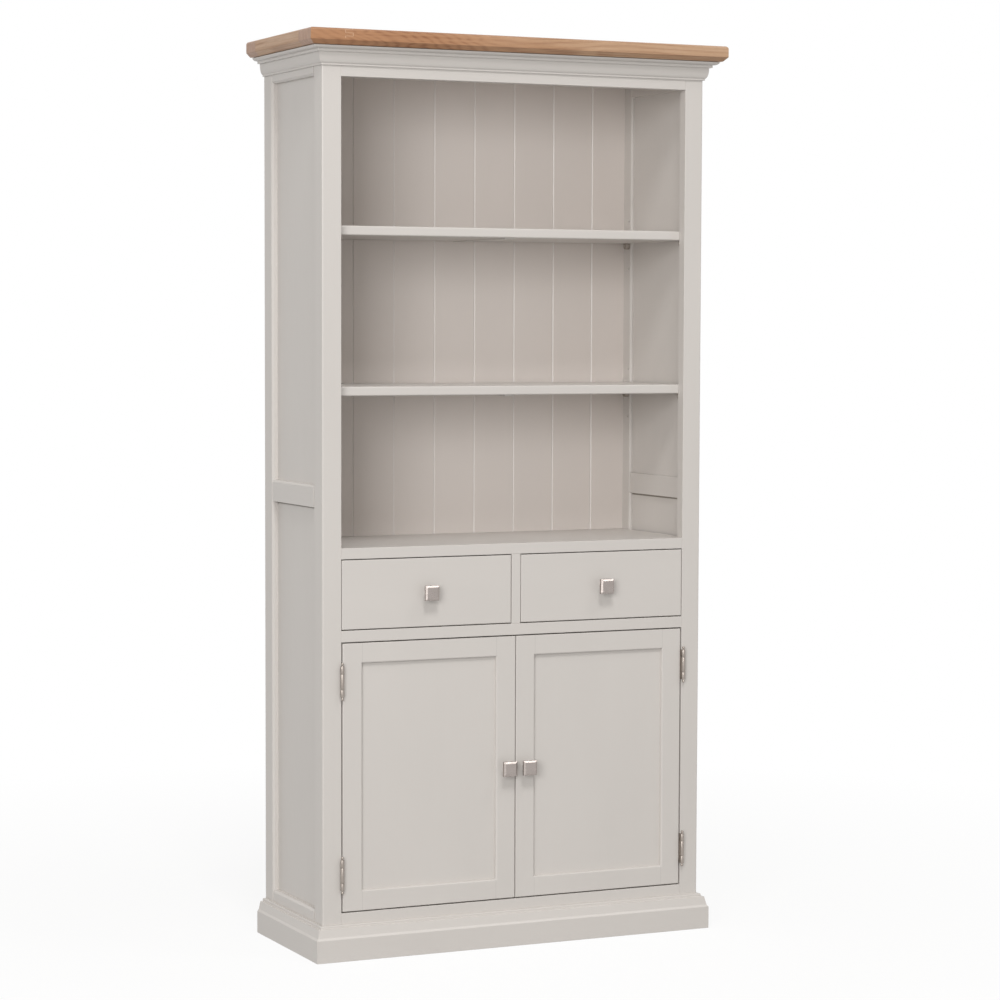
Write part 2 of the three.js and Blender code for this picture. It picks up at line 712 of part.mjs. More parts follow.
// The two leaves of a hinge about its own axis, with the door lying towards +X.
// The frame leaf carries the end knuckles, the pin and the finials; the door leaf the middle knuckle.
function hingeLeaves() {
  const half = hingeLength / 2;
  const middleHalf = hingeMiddleKnuckleLength / 2;
  const ballZ = half + finialNeckLength + finialRadius;
  const ball = (from) => Array.from({ length: finialSteps - 1 }, (_, i) => {
    const turn = ((from + i) / finialSteps) * Math.PI;
    return [finialRadius * Math.sin(turn), -Math.cos(turn) * finialRadius];
  });
  const lowerBall = ball(1).map(([r, z]) => [r, z - ballZ]);
  const upperBall = ball(1).map(([r, z]) => [r, z + ballZ]);
  const neckInto = (r) => r >= finialNeckRadius;
  const spindle = turned([
    [0, -ballZ - finialRadius],
    ...lowerBall.filter(([r, z]) => neckInto(r) || z < -ballZ),
    [finialNeckRadius, -half - finialNeckLength],
    [finialNeckRadius, -half],
    [hingeKnuckleRadius, -half],
    [hingeKnuckleRadius, -middleHalf - hingeRunningGap],
    [hingePinRadius, -middleHalf - hingeRunningGap],
    [hingePinRadius, middleHalf + hingeRunningGap],
    [hingeKnuckleRadius, middleHalf + hingeRunningGap],
    [hingeKnuckleRadius, half],
    [finialNeckRadius, half],
    [finialNeckRadius, half + finialNeckLength],
    ...upperBall.filter(([r, z]) => neckInto(r) || z > ballZ),
    [0, ballZ + finialRadius],
  ], barrelSides);
  const middle = turned([
    [hingePinRadius + hingeRunningGap, -middleHalf],
    [hingeKnuckleRadius, -middleHalf],
    [hingeKnuckleRadius, middleHalf],
    [hingePinRadius + hingeRunningGap, middleHalf],
    [hingePinRadius + hingeRunningGap, -middleHalf],
  ], barrelSides);

  const stileX = hingeAxisX - openingHalf;
  const besideStile = stileX + hingeLeafPlay;
  const frameX = [besideStile, besideStile + hingeLeafThickness];
  const besideFrameLeaf = frameX[1] + hingeLeafPlay;
  const doorX = [besideFrameLeaf, besideFrameLeaf + hingeLeafThickness];
  const behind = hingeAxisProud + hingeLeafReach;
  const clear = hingeKnuckleRadius + hingeSweepGap;
  const split = middleHalf + hingeRunningGap;
  return {
    frame: joined(
      spindle,
      board(frameX, [clear, behind], [-half, half]),
      board(frameX, [0, behind], [-half, -split]),
      board(frameX, [0, behind], [split, half]),
    ),
    door: joined(
      middle,
      board(doorX, [clear, behind], [-half, half]),
      board(doorX, [0, behind], [-middleHalf, middleHalf]),
    ),
  };
}

function addDoors() {
  const { frame, panel, knobX } = doorPieces();
  const leaves = hingeLeaves();
  const hingeZ = { lower: hingeInset, upper: doorHeight - hingeInset };
  for (const [side, hand] of [["left", 1], ["right", -1]]) {
    const handed = (geometry) => (hand > 0 ? geometry.clone() : mirrored(geometry));
    const door = new THREE.Group();
    door.position.set(-hand * hingeAxisX, hingeAxisY, doorSillZ + doorBottomGap);
    bookcase.add(door);
    piece(door, "door_frame_" + side, handed(frame), paintFinish);
    piece(door, "door_panel_" + side, handed(panel), paintFinish);
    const knob = piece(door, "door_knob_" + side, knobGeometry(), nickelFinish);
    knob.position.set(hand * knobX, hingeAxisProud, doorHeight / 2);
    for (const [end, z] of Object.entries(hingeZ)) {
      const name = "hinge_" + end + "_" + side;
      piece(door, name + "_door_leaf", handed(leaves.door), nickelFinish).position.z = z;
      const fixed = piece(carcase, name + "_frame_leaf", handed(leaves.frame), nickelFinish);
      fixed.position.set(door.position.x, door.position.y, door.position.z + z);
    }
  }
}

addTop();
addCornice();
addPlinth();
addFaceFrame();
addSides();
addBackPanel();
addFixedBoards();
addRunnerBoard();
addShelf("shelf_lower", lowerShelfZ);
addShelf("shelf_upper", upperShelfZ);
addShelfSupports("support_lower", lowerShelfZ);
addShelfSupports("support_upper", upperShelfZ);
addDoorCatch();
addDrawer("left", -1);
addDrawer("right", 1);
addDoors();

export default bookcase;
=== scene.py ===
# Bookcase with cabinet doors: a painted frame-and-panel carcase with an oak top, open shelves,
# two drawers and two panelled doors. Lengths are in millimetres until a mesh is made, and angles
# in degrees; materials work in metres. +Z is up and the front faces -Y.
import math

import bmesh
import bpy
import numpy as np
from mathutils import Matrix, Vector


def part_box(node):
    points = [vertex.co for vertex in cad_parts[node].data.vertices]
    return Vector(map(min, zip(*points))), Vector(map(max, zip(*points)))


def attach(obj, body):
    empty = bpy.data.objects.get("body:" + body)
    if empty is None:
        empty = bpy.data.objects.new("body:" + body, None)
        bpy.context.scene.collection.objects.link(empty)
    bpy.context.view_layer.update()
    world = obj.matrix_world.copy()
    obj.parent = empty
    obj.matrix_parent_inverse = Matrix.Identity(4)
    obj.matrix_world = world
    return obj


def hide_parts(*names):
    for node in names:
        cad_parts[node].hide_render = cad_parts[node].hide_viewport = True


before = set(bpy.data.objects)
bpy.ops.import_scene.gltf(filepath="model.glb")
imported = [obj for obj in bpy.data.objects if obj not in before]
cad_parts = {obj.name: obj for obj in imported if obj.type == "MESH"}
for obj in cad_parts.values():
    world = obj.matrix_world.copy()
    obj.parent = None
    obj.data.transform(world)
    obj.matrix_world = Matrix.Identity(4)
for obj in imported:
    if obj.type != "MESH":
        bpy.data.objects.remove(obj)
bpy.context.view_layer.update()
hands = {"left": -1, "right": 1}
millimetre = 0.001
print("frame loaded,", len(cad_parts), "nodes")

# Material nodes

boardShift = 0.37  # metres that the grain moves for each whole board number
mostNoise = (0.3, 0.7)  # where most values of a noise lie


def newNode(tree, kind, inputs=None, **settings):
    node = tree.nodes.new("ShaderNode" + kind)
    for key, value in settings.items():
        setattr(node, key, value)
    for key, value in (inputs or {}).items():
        if isinstance(value, bpy.types.NodeSocket):
            tree.links.new(value, node.inputs[key])
        else:
            node.inputs[key].default_value = value
    return node


def calc(tree, operation, first, second=0.0, third=0.0):
    inputs = {0: first, 1: second, 2: third}
    return newNode(tree, "Math", inputs, operation=operation).outputs[0]


def times(tree, first, second):
    return calc(tree, "MULTIPLY", first, second)


# The first value times the second, with the third added.
def timesPlus(tree, first, second, third):
    return calc(tree, "MULTIPLY_ADD", first, second, third)


# A wave from 0 to 1: (1 + sin(phase)) / 2.
def wave(tree, phase):
    return timesPlus(tree, calc(tree, "SINE", phase), 0.5, 0.5)


def remap(tree, value, low, high, newLow=0.0, newHigh=1.0):
    inputs = {0: value, 1: low, 2: high, 3: newLow, 4: newHigh}
    return newNode(tree, "MapRange", inputs).outputs[0]


# The named noises of a look, which gives each as its waves to a metre, its layers of detail and,
# where it isn't a half, the strength of each layer beside the one before. The waves are one
# number, or one for each axis, to draw the noise out along the grain.
def noises(tree, vector, look, *keys):
    made = []
    for waves, detail, *strength in (look[key] for key in keys):
        source = vector
        if isinstance(waves, tuple):
            source = newNode(tree, "VectorMath", {0: vector, 1: waves}, operation="MULTIPLY").outputs[0]
            waves = 1.0
        inputs = {"Vector": source, "Scale": waves, "Detail": detail, "Roughness": (strength or [0.5])[0]}
        made.append(newNode(tree, "TexNoise", inputs).outputs[0])
    return made


# An 8-bit screen colour as the linear colour that a shader takes.
def linear(red, green, blue):
    values = np.array([red, green, blue]) / 255
    out = np.where(values <= 0.04045, values / 12.92, ((values + 0.055) / 1.055) ** 2.4)
    return (*out.tolist(), 1.0)


# A mix of two colours. One that is three numbers is an 8-bit screen colour.
def blend(tree, factor, first, second, mode="MIX"):
    inputs = {0: factor}
    for index, colour in ((6, first), (7, second)):
        isScreen = isinstance(colour, tuple) and len(colour) == 3
        inputs[index] = linear(*colour) if isScreen else colour
    return newNode(tree, "Mix", inputs, data_type="RGBA", blend_type=mode).outputs[2]


# A node group with one vector input and the named outputs; fill(tree, vector) gives the sockets.
def nodeGroup(name, fill):
    tree = bpy.data.node_groups.new(name, "ShaderNodeTree")
    tree.interface.new_socket("Vector", in_out="INPUT", socket_type="NodeSocketVector")
    for label, kind in (("Color", "Color"), ("Roughness", "Float"), ("Height", "Float")):
        tree.interface.new_socket(label, in_out="OUTPUT", socket_type="NodeSocket" + kind)
    inlet = tree.nodes.new("NodeGroupInput")
    outlet = tree.nodes.new("NodeGroupOutput")
    for label, socket in fill(tree, inlet.outputs[0]).items():
        tree.links.new(socket, outlet.inputs[label])
    return tree


# A material whose group reads the object's coordinates, turned so that the grain runs along the
# group's X, and shifted by the piece's own board number where it has one.
def groupMaterial(name, group, grain, bumpHeight, **constants):
    material = bpy.data.materials.new(name)
    material.use_nodes = True
    tree = material.node_tree
    shader = tree.nodes["Principled BSDF"]
    place = newNode(tree, "TexCoord").outputs["Object"]
    parts = newNode(tree, "SeparateXYZ", {0: place}).outputs
    order = {"x": (0, 1, 2), "y": (1, 0, 2), "z": (2, 0, 1)}[grain]
    turned = newNode(tree, "CombineXYZ", {i: parts[order[i]] for i in range(3)}).outputs[0]
    board = newNode(tree, "Attribute", attribute_name="board").outputs["Fac"]
    shift = times(tree, board, boardShift)
    moved = newNode(tree, "VectorMath", {0: turned, 1: shift}, operation="ADD").outputs[0]
    made = newNode(tree, "Group", node_tree=group)
    tree.links.new(moved, made.inputs[0])
    tree.links.new(made.outputs["Color"], shader.inputs["Base Color"])
    tree.links.new(made.outputs["Roughness"], shader.inputs["Roughness"])
    bump = newNode(tree, "Bump", {"Height": made.outputs["Height"], "Strength": 1.0})
    bump.inputs["Distance"].default_value = bumpHeight * millimetre
    tree.links.new(bump.outputs[0], shader.inputs["Normal"])
    for key, value in constants.items():
        shader.inputs[key].default_value = value
    return material


# The same material for each direction of the grain that is asked for.
def grained(name, group, grains, bumpHeight, **constants):
    return {g: groupMaterial(name + g, group, g, bumpHeight, **constants) for g in grains}


paintLook = {
    "outside": (206, 201, 196),
    # The inside paint is the outside paint made lighter and warmer: painted light standing in for the light
    # that bounces round the bays.
    "inside": (221, 213, 207),
    "groove": (227, 221, 217),  # paler paint on the sloping faces of the grooves of the back: a painted highlight
    "gap": (138, 131, 121),  # darker paint in the gap under the middle rail of a side: painted shade
    "clouds": ((2.0, 7.0, 7.0), 3),
    "brushMarks": ((14.0, 900.0, 900.0), 4, 0.6),
    "pebble": (420.0, 2),
    "toneShares": (2.2, 0.8),  # of the clouds and of the brush marks
    "toneSpan": (0.9, 2.1),
    "toneVariation": 0.012,  # share of the colour
    "pebbleShare": 0.5,  # of the height
    "roughness": (0.32, 0.42),
    "brushHeight": 0.012,
    "jointWidth": 0.9,
    "jointDepth": 0.14,  # share of the colour lost on a joint
}


# Paint: the colour drifts a little in broad clouds; fine streaks along the grain are the brush
# marks over the wood below, and give the height and the change in roughness. Where joints are
# given, the hairlines between rails and stiles show through.
def paintGroup(name, colour, joints=None):
    look = paintLook

    def fill(tree, vector):
        clouds, streaks, pebble = noises(tree, vector, look, "clouds", "brushMarks", "pebble")
        cloudShare, streakShare = look["toneShares"]
        tone = timesPlus(tree, clouds, cloudShare, times(tree, streaks, streakShare))
        drift = look["toneVariation"]
        tint = remap(tree, tone, *look["toneSpan"], 1 - 2 * drift, 1 + drift)
        if joints:
            tint = times(tree, tint, jointTint(tree, vector, *joints))
        grey = newNode(tree, "CombineColor", {0: tint, 1: tint, 2: tint}).outputs[0]
        low, high = look["roughness"]
        return {
            "Color": blend(tree, 1.0, colour, grey, "MULTIPLY"),
            "Roughness": remap(tree, streaks, *mostNoise, high, low),
            "Height": timesPlus(tree, pebble, look["pebbleShare"], streaks),
        }
    return nodeGroup(name, fill)


# One, but less on a hairline at either |x|, above and below the two levels of z. The vector's X
# is the upright grain.
def jointTint(tree, vector, places, levels):
    parts = newNode(tree, "SeparateXYZ", {0: vector}).outputs
    x, z = calc(tree, "ABSOLUTE", parts[1]), parts[0]
    near = [calc(tree, "ABSOLUTE", calc(tree, "SUBTRACT", x, at * millimetre)) for at in places]
    halfLine = paintLook["jointWidth"] / 2 * millimetre
    onLine = calc(tree, "LESS_THAN", calc(tree, "MINIMUM", *near), halfLine)
    below, above = (level * millimetre for level in levels)
    inRail = calc(tree, "MAXIMUM", calc(tree, "LESS_THAN", z, below), calc(tree, "GREATER_THAN", z, above))
    return timesPlus(tree, times(tree, onLine, inRail), -paintLook["jointDepth"], 1.0)


oakLook = {
    "pale": (193, 160, 131),
    "mid": (179, 142, 109),
    "warm": (172, 122, 83),
    "dark": (122, 76, 46),
    "glue": (222, 192, 166),
    "roughness": (0.38, 0.55),
    "poreHeight": 0.12,
    "bend": ((4.0, 22.0, 22.0), 3, 0.55),
    "streaks": ((5.0, 260.0, 260.0), 4, 0.65),
    "pores": ((60.0, 1500.0, 1500.0), 2, 0.6),
    "broad": ((3.0, 16.0, 16.0), 2),
    "warmUpTo": (-0.22, 0.18),  # metres; the timber is warm to the left of these and pale after
    "warmShare": 0.85,  # of the warm colour where the timber is warmest
    "slope": 0.33,  # of the rings where the timber is warm, down towards +X
    "ringPitch": 620.0,  # radians to a metre of depth
    "ringBend": (12.0, 26.0),  # radians, and how many more where the timber is warm
    "ringPower": 2.0,  # narrows the dark of a ring
    "ringShares": (0.15, 0.55, 0.20),  # of dark where rings are faint and strong, and more where warm
    "broadSpan": (0.38, 0.62),
    "streakSpan": (0.30, 0.60),
    "driftShares": (0.7, 0.5),  # of the streaks and of the broad noise
    "driftSpan": (0.45, 0.75),
    "warmDrift": 0.35,  # share of dark in the warm colour at the end of the drift
    "poreSpan": (0.56, 0.70),
    "poreShare": 0.3,  # of dark in a pore
    "ringHeight": 0.25,  # of a ring, as a share of the depth of a pore
    "joint": (-0.413, -0.396),  # metres; the two ends of the finger joint in the front strip
    "finger": 0.0066,
    "tipLine": 0.0006,
    "edgeLine": 0.45,  # from the middle of a finger to its glue line, as a share of the finger
    "jointFoot": 1.9295,
    "glueShare": 0.55,
}


# Oak along the grain: rings are a wave of the depth into the board, bent by stretched noise and
# more so where the timber is warm; pores are short dark dashes; long streaks darken some rings.
def oakFill(tree, vector):
    look = oakLook
    bend, streaks, pores, broad = noises(tree, vector, look, "bend", "streaks", "pores", "broad")
    parts = newNode(tree, "SeparateXYZ", {0: vector}).outputs
    warm = remap(tree, parts[0], *look["warmUpTo"], 1.0, 0.0)
    sloped = timesPlus(tree, parts[0], times(tree, warm, look["slope"]), parts[2])
    depth = calc(tree, "ADD", parts[1], sloped)
    coolBend, warmBend = look["ringBend"]
    tilt = times(tree, bend, timesPlus(tree, warm, warmBend, coolBend))
    rings = wave(tree, timesPlus(tree, depth, look["ringPitch"], tilt))
    rings = calc(tree, "POWER", rings, look["ringPower"])
    faint, strong, warmer = look["ringShares"]
    amount = timesPlus(tree, warm, warmer, remap(tree, broad, *look["broadSpan"], faint, strong))
    dark = times(tree, times(tree, rings, amount), remap(tree, streaks, *look["streakSpan"]))
    streakShare, broadShare = look["driftShares"]
    mixed = timesPlus(tree, streaks, streakShare, times(tree, broad, broadShare))
    drift = remap(tree, mixed, *look["driftSpan"])
    ground = blend(tree, drift, look["pale"], look["mid"])
    reddish = blend(tree, times(tree, drift, look["warmDrift"]), look["warm"], look["dark"])
    ground = blend(tree, times(tree, warm, look["warmShare"]), ground, reddish)
    stained = blend(tree, dark, ground, look["dark"])
    dashes = remap(tree, pores, *look["poreSpan"])
    stained = blend(tree, times(tree, dashes, look["poreShare"]), stained, look["dark"])
    return {
        "Color": blend(tree, fingerLines(tree, parts[0], parts[2]), stained, look["glue"]),
        "Roughness": remap(tree, streaks, *mostNoise, *look["roughness"]),
        "Height": timesPlus(tree, dashes, -1.0, times(tree, rings, look["ringHeight"])),
    }


# Glue lines of a finger joint: each finger ends at one end of the joint or the other by turns, and
# the long lines between fingers run from end to end.
def fingerLines(tree, x, z):
    look = oakLook
    start, end = look["joint"]
    row = calc(tree, "DIVIDE", z, look["finger"])
    turn = calc(tree, "FLOORED_MODULO", calc(tree, "FLOOR", row), 2.0)
    tip = timesPlus(tree, turn, end - start, start)
    tips = calc(tree, "LESS_THAN", calc(tree, "ABSOLUTE", calc(tree, "SUBTRACT", x, tip)), look["tipLine"])
    between = times(tree, calc(tree, "GREATER_THAN", x, start), calc(tree, "LESS_THAN", x, end))
    fromMiddle = calc(tree, "ABSOLUTE", calc(tree, "SUBTRACT", calc(tree, "FRACT", row), 0.5))
    edges = times(tree, calc(tree, "GREATER_THAN", fromMiddle, look["edgeLine"]), between)
    shown = times(tree, calc(tree, "GREATER_THAN", z, look["jointFoot"]), look["glueShare"])
    return times(tree, calc(tree, "MAXIMUM", tips, edges), shown)


oakEndLook = {
    "pale": (192, 160, 138),
    "dark": (150, 114, 93),
    "bend": (26.0, 2),
    "dots": (1500.0, 2),
    "rays": ((1.0, 420.0, 30.0), 3),
    "ringPitch": 1100.0,  # radians to a metre across the board
    "ringLean": 160.0,  # radians to a metre up
    "ringBend": 7.0,
    "dotSpan": (0.52, 0.68),
    "raySpan": (0.45, 0.62),
    "dotShare": 0.3,
    "rayShare": -0.5,
    "toneSpan": (-0.3, 1.1),
}


# Oak across the grain: rings are upright bands, with paler rays along them and dotted pores.
def oakEndFill(tree, vector):
    look = oakEndLook
    bend, dots, rays = noises(tree, vector, look, "bend", "dots", "rays")
    parts = newNode(tree, "SeparateXYZ", {0: vector}).outputs
    lean = timesPlus(tree, bend, look["ringBend"], times(tree, parts[2], look["ringLean"]))
    rings = wave(tree, timesPlus(tree, parts[1], look["ringPitch"], lean))
    dots = remap(tree, dots, *look["dotSpan"])
    rays = remap(tree, rays, *look["raySpan"])
    tone = timesPlus(tree, rays, look["rayShare"], timesPlus(tree, dots, look["dotShare"], rings))
    low, high = oakLook["roughness"]
    return {
        "Color": blend(tree, remap(tree, tone, *look["toneSpan"]), look["pale"], look["dark"]),
        "Roughness": remap(tree, rings, 0.0, 1.0, high, low),
        "Height": times(tree, dots, -1.0),
    }


boardLook = {
    "pale": (226, 208, 176),
    "dark": (196, 168, 126),
    "bend": ((2.0, 14.0, 14.0), 3),
    "streaks": ((3.0, 160.0, 160.0), 5, 0.6),
    "toneShares": (0.6, 0.8),  # of the bend and of the streaks
    "toneSpan": (0.5, 0.95),
    "roughness": (0.52, 0.66),
    "grainHeight": 0.06,
}


# Bare pale wood: soft long streaks with a few darker lines.
def paleWoodFill(tree, vector):
    look = boardLook
    bend, streaks = noises(tree, vector, look, "bend", "streaks")
    bendShare, streakShare = look["toneShares"]
    tone = timesPlus(tree, bend, bendShare, times(tree, streaks, streakShare))
    return {
        "Color": blend(tree, remap(tree, tone, *look["toneSpan"]), look["pale"], look["dark"]),
        "Roughness": remap(tree, streaks, *mostNoise, *look["roughness"]),
        "Height": streaks,
    }


# Each metal is its bright colour, its dull colour and its roughness.
metalLook = {
    "nickel": ((175, 166, 161), (159, 150, 145), (0.22, 0.34)),
    "satin": ((170, 161, 153), (152, 143, 136), (0.33, 0.43)),
    "zinc": ((190, 181, 174), (168, 160, 153), (0.40, 0.50)),
    # Dark metal: the catch magnets' own colour, and painted shade in the recesses of the screw heads.
    "recess": ((74, 70, 67), (56, 53, 51), (0.30, 0.40)),
    "brush": ((150.0, 6000.0, 6000.0), 3, 0.6),
    "cloud": (60.0, 2),
    "wearShares": (0.6, 0.4),  # of the brush marks and of the clouds
    "brushHeight": 0.015,
}


# Brushed metal: very fine streaks along one direction over slow clouds of handling.
def metalGroup(name, metal):
    bright, dull, roughness = metalLook[metal]

    def fill(tree, vector):
        brush, cloud = noises(tree, vector, metalLook, "brush", "cloud")
        brushShare, cloudShare = metalLook["wearShares"]
        wear = timesPlus(tree, brush, brushShare, times(tree, cloud, cloudShare))
        return {
            "Color": blend(tree, cloud, bright, dull),
            "Roughness": remap(tree, wear, *mostNoise, *roughness),
            "Height": brush,
        }
    return nodeGroup(name, fill)


plasticLook = {
    "colour": (232, 228, 218),
    "dull": (222, 216, 204),
    "grain": (900.0, 3, 0.6),
    "roughness": (0.42, 0.52),
    "grainHeight": 0.03,
}


# Moulded plastic: a fine spark-worn grain.
def plasticFill(tree, vector):
    grain, = noises(tree, vector, plasticLook, "grain")
    return {
        "Color": blend(tree, grain, plasticLook["colour"], plasticLook["dull"]),
        "Roughness": remap(tree, grain, *mostNoise, *plasticLook["roughness"]),
        "Height": grain,
    }


paintOutside = paintGroup("paint outside", paintLook["outside"])
# Lightened and warmed as painted light for the bays.
paintInsideLightened = paintGroup("paint inside, lightened as painted light", paintLook["inside"])
# Darkened as painted shade in the gap under the middle rail.
paintGapShade = paintGroup("paint darkened as painted shade in the gap", paintLook["gap"])
# Paler as a painted highlight on the sloping faces of the grooves.
paintGrooveHighlight = paintGroup("paint lightened as painted highlight in the grooves", paintLook["groove"])
paleGroup = nodeGroup("pale wood", paleWoodFill)
nickelGroup = metalGroup("brushed nickel", "nickel")
satinGroup = metalGroup("satin nickel", "satin")
zincGroup = metalGroup("zinc plate", "zinc")
# The magnets' own dark metal, and painted shade in the screw recesses.
recessShadeAndMagnetGroup = metalGroup("dark metal", "recess")
paintHeight, brushHeight = paintLook["brushHeight"], metalLook["brushHeight"]
paint = grained("paint, grain ", paintOutside, "xyz", paintHeight)
insidePaintLightened = grained("inside paint, grain ", paintInsideLightened, "xz", paintHeight)
gapShadePaint = groupMaterial("paint darkened as painted shade in the gap", paintGapShade, "y", paintHeight)
grooveHighlightPaint = groupMaterial("paint lightened as painted highlight in the grooves", paintGrooveHighlight, "z", paintHeight)
oak = grained("oak, grain ", nodeGroup("oak along the grain", oakFill), "xy", oakLook["poreHeight"])
oakEnd = groupMaterial("oak end grain", nodeGroup("oak end grain", oakEndFill), "x", oakLook["poreHeight"])
paleWood = grained("pale wood, grain ", paleGroup, "xy", boardLook["grainHeight"])
nickel = grained("nickel, brushed along ", nickelGroup, "xy", brushHeight, Metallic=1.0)
satin = groupMaterial("satin nickel, brushed along z", satinGroup, "z", brushHeight, Metallic=1.0)
zinc = groupMaterial("zinc plate, brushed along y", zincGroup, "y", brushHeight, Metallic=1.0)
magnetMetalAndRecessShade = groupMaterial("dark metal", recessShadeAndMagnetGroup, "x", brushHeight, Metallic=1.0)
plasticGroup = nodeGroup("moulded plastic", plasticFill)
plastic = groupMaterial("catch plastic", plasticGroup, "x", plasticLook["grainHeight"])
print("materials made")

# Meshes

smallHold = 0.25  # from a rounded edge to the point that keeps the flat beside it shading flat
mildestArris = 0.93  # cosine of the mildest turn that is cut by an arris
arrisRoom = 2.2  # a side that is cut is longer than this many arrises
smoothUpTo = 40  # degrees
mergeWithin, collapseWithin = 1e-6, 1e-7  # metres
touching = 0.01  # edges closer than this are one edge
boardEase = 0.7  # where a board has no ease of its own
endPoints, curvePoints = 4, 11  # of a quarter turn, at an eased end and in a moulding


def floats(values):
    return np.array(values, dtype=float)


def joined(*parts):
    return np.concatenate(parts)


def columns(*parts):
    return np.stack(parts, 1)


# Angles from 0 to 90 degrees, in radians.
def quarterTurn(count):
    return np.radians(np.linspace(0, 90, count))


# The two corners of a node's box, in millimetres.
def span(node):
    low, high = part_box(node)
    return np.array(low) / millimetre, np.array(high) / millimetre


# Quads between neighbouring points of a grid of stations and outline points, closed round the
# outline, with a cap at each end unless the stations close on themselves.
def gridFaces(stations, count, closed):
    row = np.arange(stations if closed else stations - 1)[:, None]
    column = np.arange(count)[None, :]
    nextRow, nextColumn = (row + 1) % stations, (column + 1) % count
    corners = [
        row * count + column,
        row * count + nextColumn,
        nextRow * count + nextColumn,
        nextRow * count + column,
    ]
    faces = np.stack(np.broadcast_arrays(*corners), -1).reshape(-1, 4).tolist()
    if not closed:
        first = np.arange(count)
        faces += [first[::-1].tolist(), (first + (stations - 1) * count).tolist()]
    return faces


# Smooth shading, apart from edges that turn too far.
def shade(mesh):
    mesh.shade_smooth()
    mesh.set_sharp_from_angle(angle=math.radians(smoothUpTo))


def linked(name, data):
    made = bpy.data.objects.new(name, data)
    bpy.context.scene.collection.objects.link(made)
    return made


# A solid from a grid of points, shape (stations, outline points, 3). Its faces look outwards.
def solid(name, points, *materials, closed=False):
    points = floats(points)
    faces = gridFaces(points.shape[0], points.shape[1], closed)
    mesh = bpy.data.meshes.new(name)
    mesh.from_pydata((points.reshape(-1, 3) * millimetre).tolist(), [], faces)
    work = bmesh.new()
    work.from_mesh(mesh)
    bmesh.ops.remove_doubles(work, verts=work.verts, dist=mergeWithin)
    bmesh.ops.dissolve_degenerate(work, edges=work.edges, dist=collapseWithin)
    bmesh.ops.recalc_face_normals(work, faces=work.faces)
    if work.calc_volume(signed=True) < 0:
        bmesh.ops.reverse_faces(work, faces=work.faces)
    work.to_mesh(mesh)
    work.free()
    shade(mesh)
    for material in materials:
        mesh.materials.append(material)
    return linked(name, mesh)


# Small solids of one material put together as one piece.
def gathered(name, solids):
    work = bmesh.new()
    for part in solids:
        work.from_mesh(part.data)
    whole = solids[0].data.copy()
    work.to_mesh(whole)
    work.free()
    for part in solids:
        bpy.data.objects.remove(part)
    return linked(name, whole)


# The parts of each face's normal, without their signs.
def faceNormals(mesh):
    normals = np.empty(len(mesh.polygons) * 3)
    mesh.polygons.foreach_get("normal", normals)
    return np.abs(normals.reshape(-1, 3))


# The faces that are picked take the second material.
def repaint(mesh, picked):
    mesh.polygons.foreach_set("material_index", picked.astype(np.int32))


# The piece moves with a body and stands for CAD nodes. The slot is not used.
def place(piece, body, slot, *nodes):
    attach(piece, body)
    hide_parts(*nodes)


# A rectangle with a quarter circle at each corner, lower left first and then round; a corner of
# one step is a flat bevel.
def easedSection(low, high, radii, steps):
    low, high = floats(low), floats(high)
    points = []
    corners = ((0, 0), (1, 0), (1, 1), (0, 1))
    for corner, start, radius, count in zip(corners, (180, 270, 0, 90), radii, steps):
        turn = np.radians(start + np.linspace(0, 90, count + 1))
        centre = np.where(corner, high - radius, low + radius)
        arc = centre + radius * columns(np.cos(turn), np.sin(turn))
        along = columns(-np.sin(turn), np.cos(turn))
        points += [arc[:1] - smallHold * along[:1], arc, arc[-1:] + smallHold * along[-1:]]
    return np.concatenate(points)


# Stations for a rounded end: an offset from the end, and how far the outline is drawn in there.
def easedEnd(ease):
    turn = quarterTurn(endPoints)
    offsets = joined([0], ease * (1 - np.cos(turn)), [ease + smallHold])
    margins = joined([ease + smallHold], ease * (1 - np.sin(turn)), [0])
    return offsets, margins


# A board between two corners: the eased section carried along an axis, and drawn in at both ends.
# radii and steps are for the section's corners, in the order of easedSection.
def board(name, low, high, along, *materials, ease=boardEase, radii=None, steps=None, endEase=None):
    low, high = floats(low), floats(high)
    axis = "xyz".index(along)
    first, second = [i for i in range(3) if i != axis]
    radii = [ease] * 4 if radii is None else radii
    section = easedSection(low[[first, second]], high[[first, second]], radii, steps or [3] * 4)
    offsets, margins = easedEnd(ease if endEase is None else endEase)
    places = joined(low[axis] + offsets, (high[axis] - offsets)[::-1])
    margins = joined(margins, margins[::-1])[:, None]
    points = np.empty((len(places), len(section), 3))
    points[..., axis] = places[:, None]
    for column, index in enumerate((first, second)):
        points[..., index] = np.clip(section[:, column], low[index] + margins, high[index] - margins)
    return solid(name, points, *materials)


# Rings about an axis through centre. Ring i stands heights[i] along it, and its outline is the
# superellipse |a / r|^n + |b / r|^n = 1 with r = reaches[i] and n = power: a circle at n = 2.
def ringed(name, centre, axis, heights, reaches, sides, *materials, power=2):
    turn = np.linspace(0, 2 * np.pi, sides, endpoint=False) + np.pi / sides
    cosine, sine = np.cos(turn), np.sin(turn)
    reach = floats(reaches)[:, None]
    a = reach * np.sign(cosine) * np.abs(cosine) ** (2 / power)
    b = reach * np.sign(sine) * np.abs(sine) ** (2 / power)
    index = "xyz".index(axis)
    others = [i for i in range(3) if i != index]
    points = np.empty((*a.shape, 3))
    points[..., index] = floats(heights)[:, None]
    points[..., others[0]], points[..., others[1]] = a, b
    return solid(name, points + floats(centre), *materials)


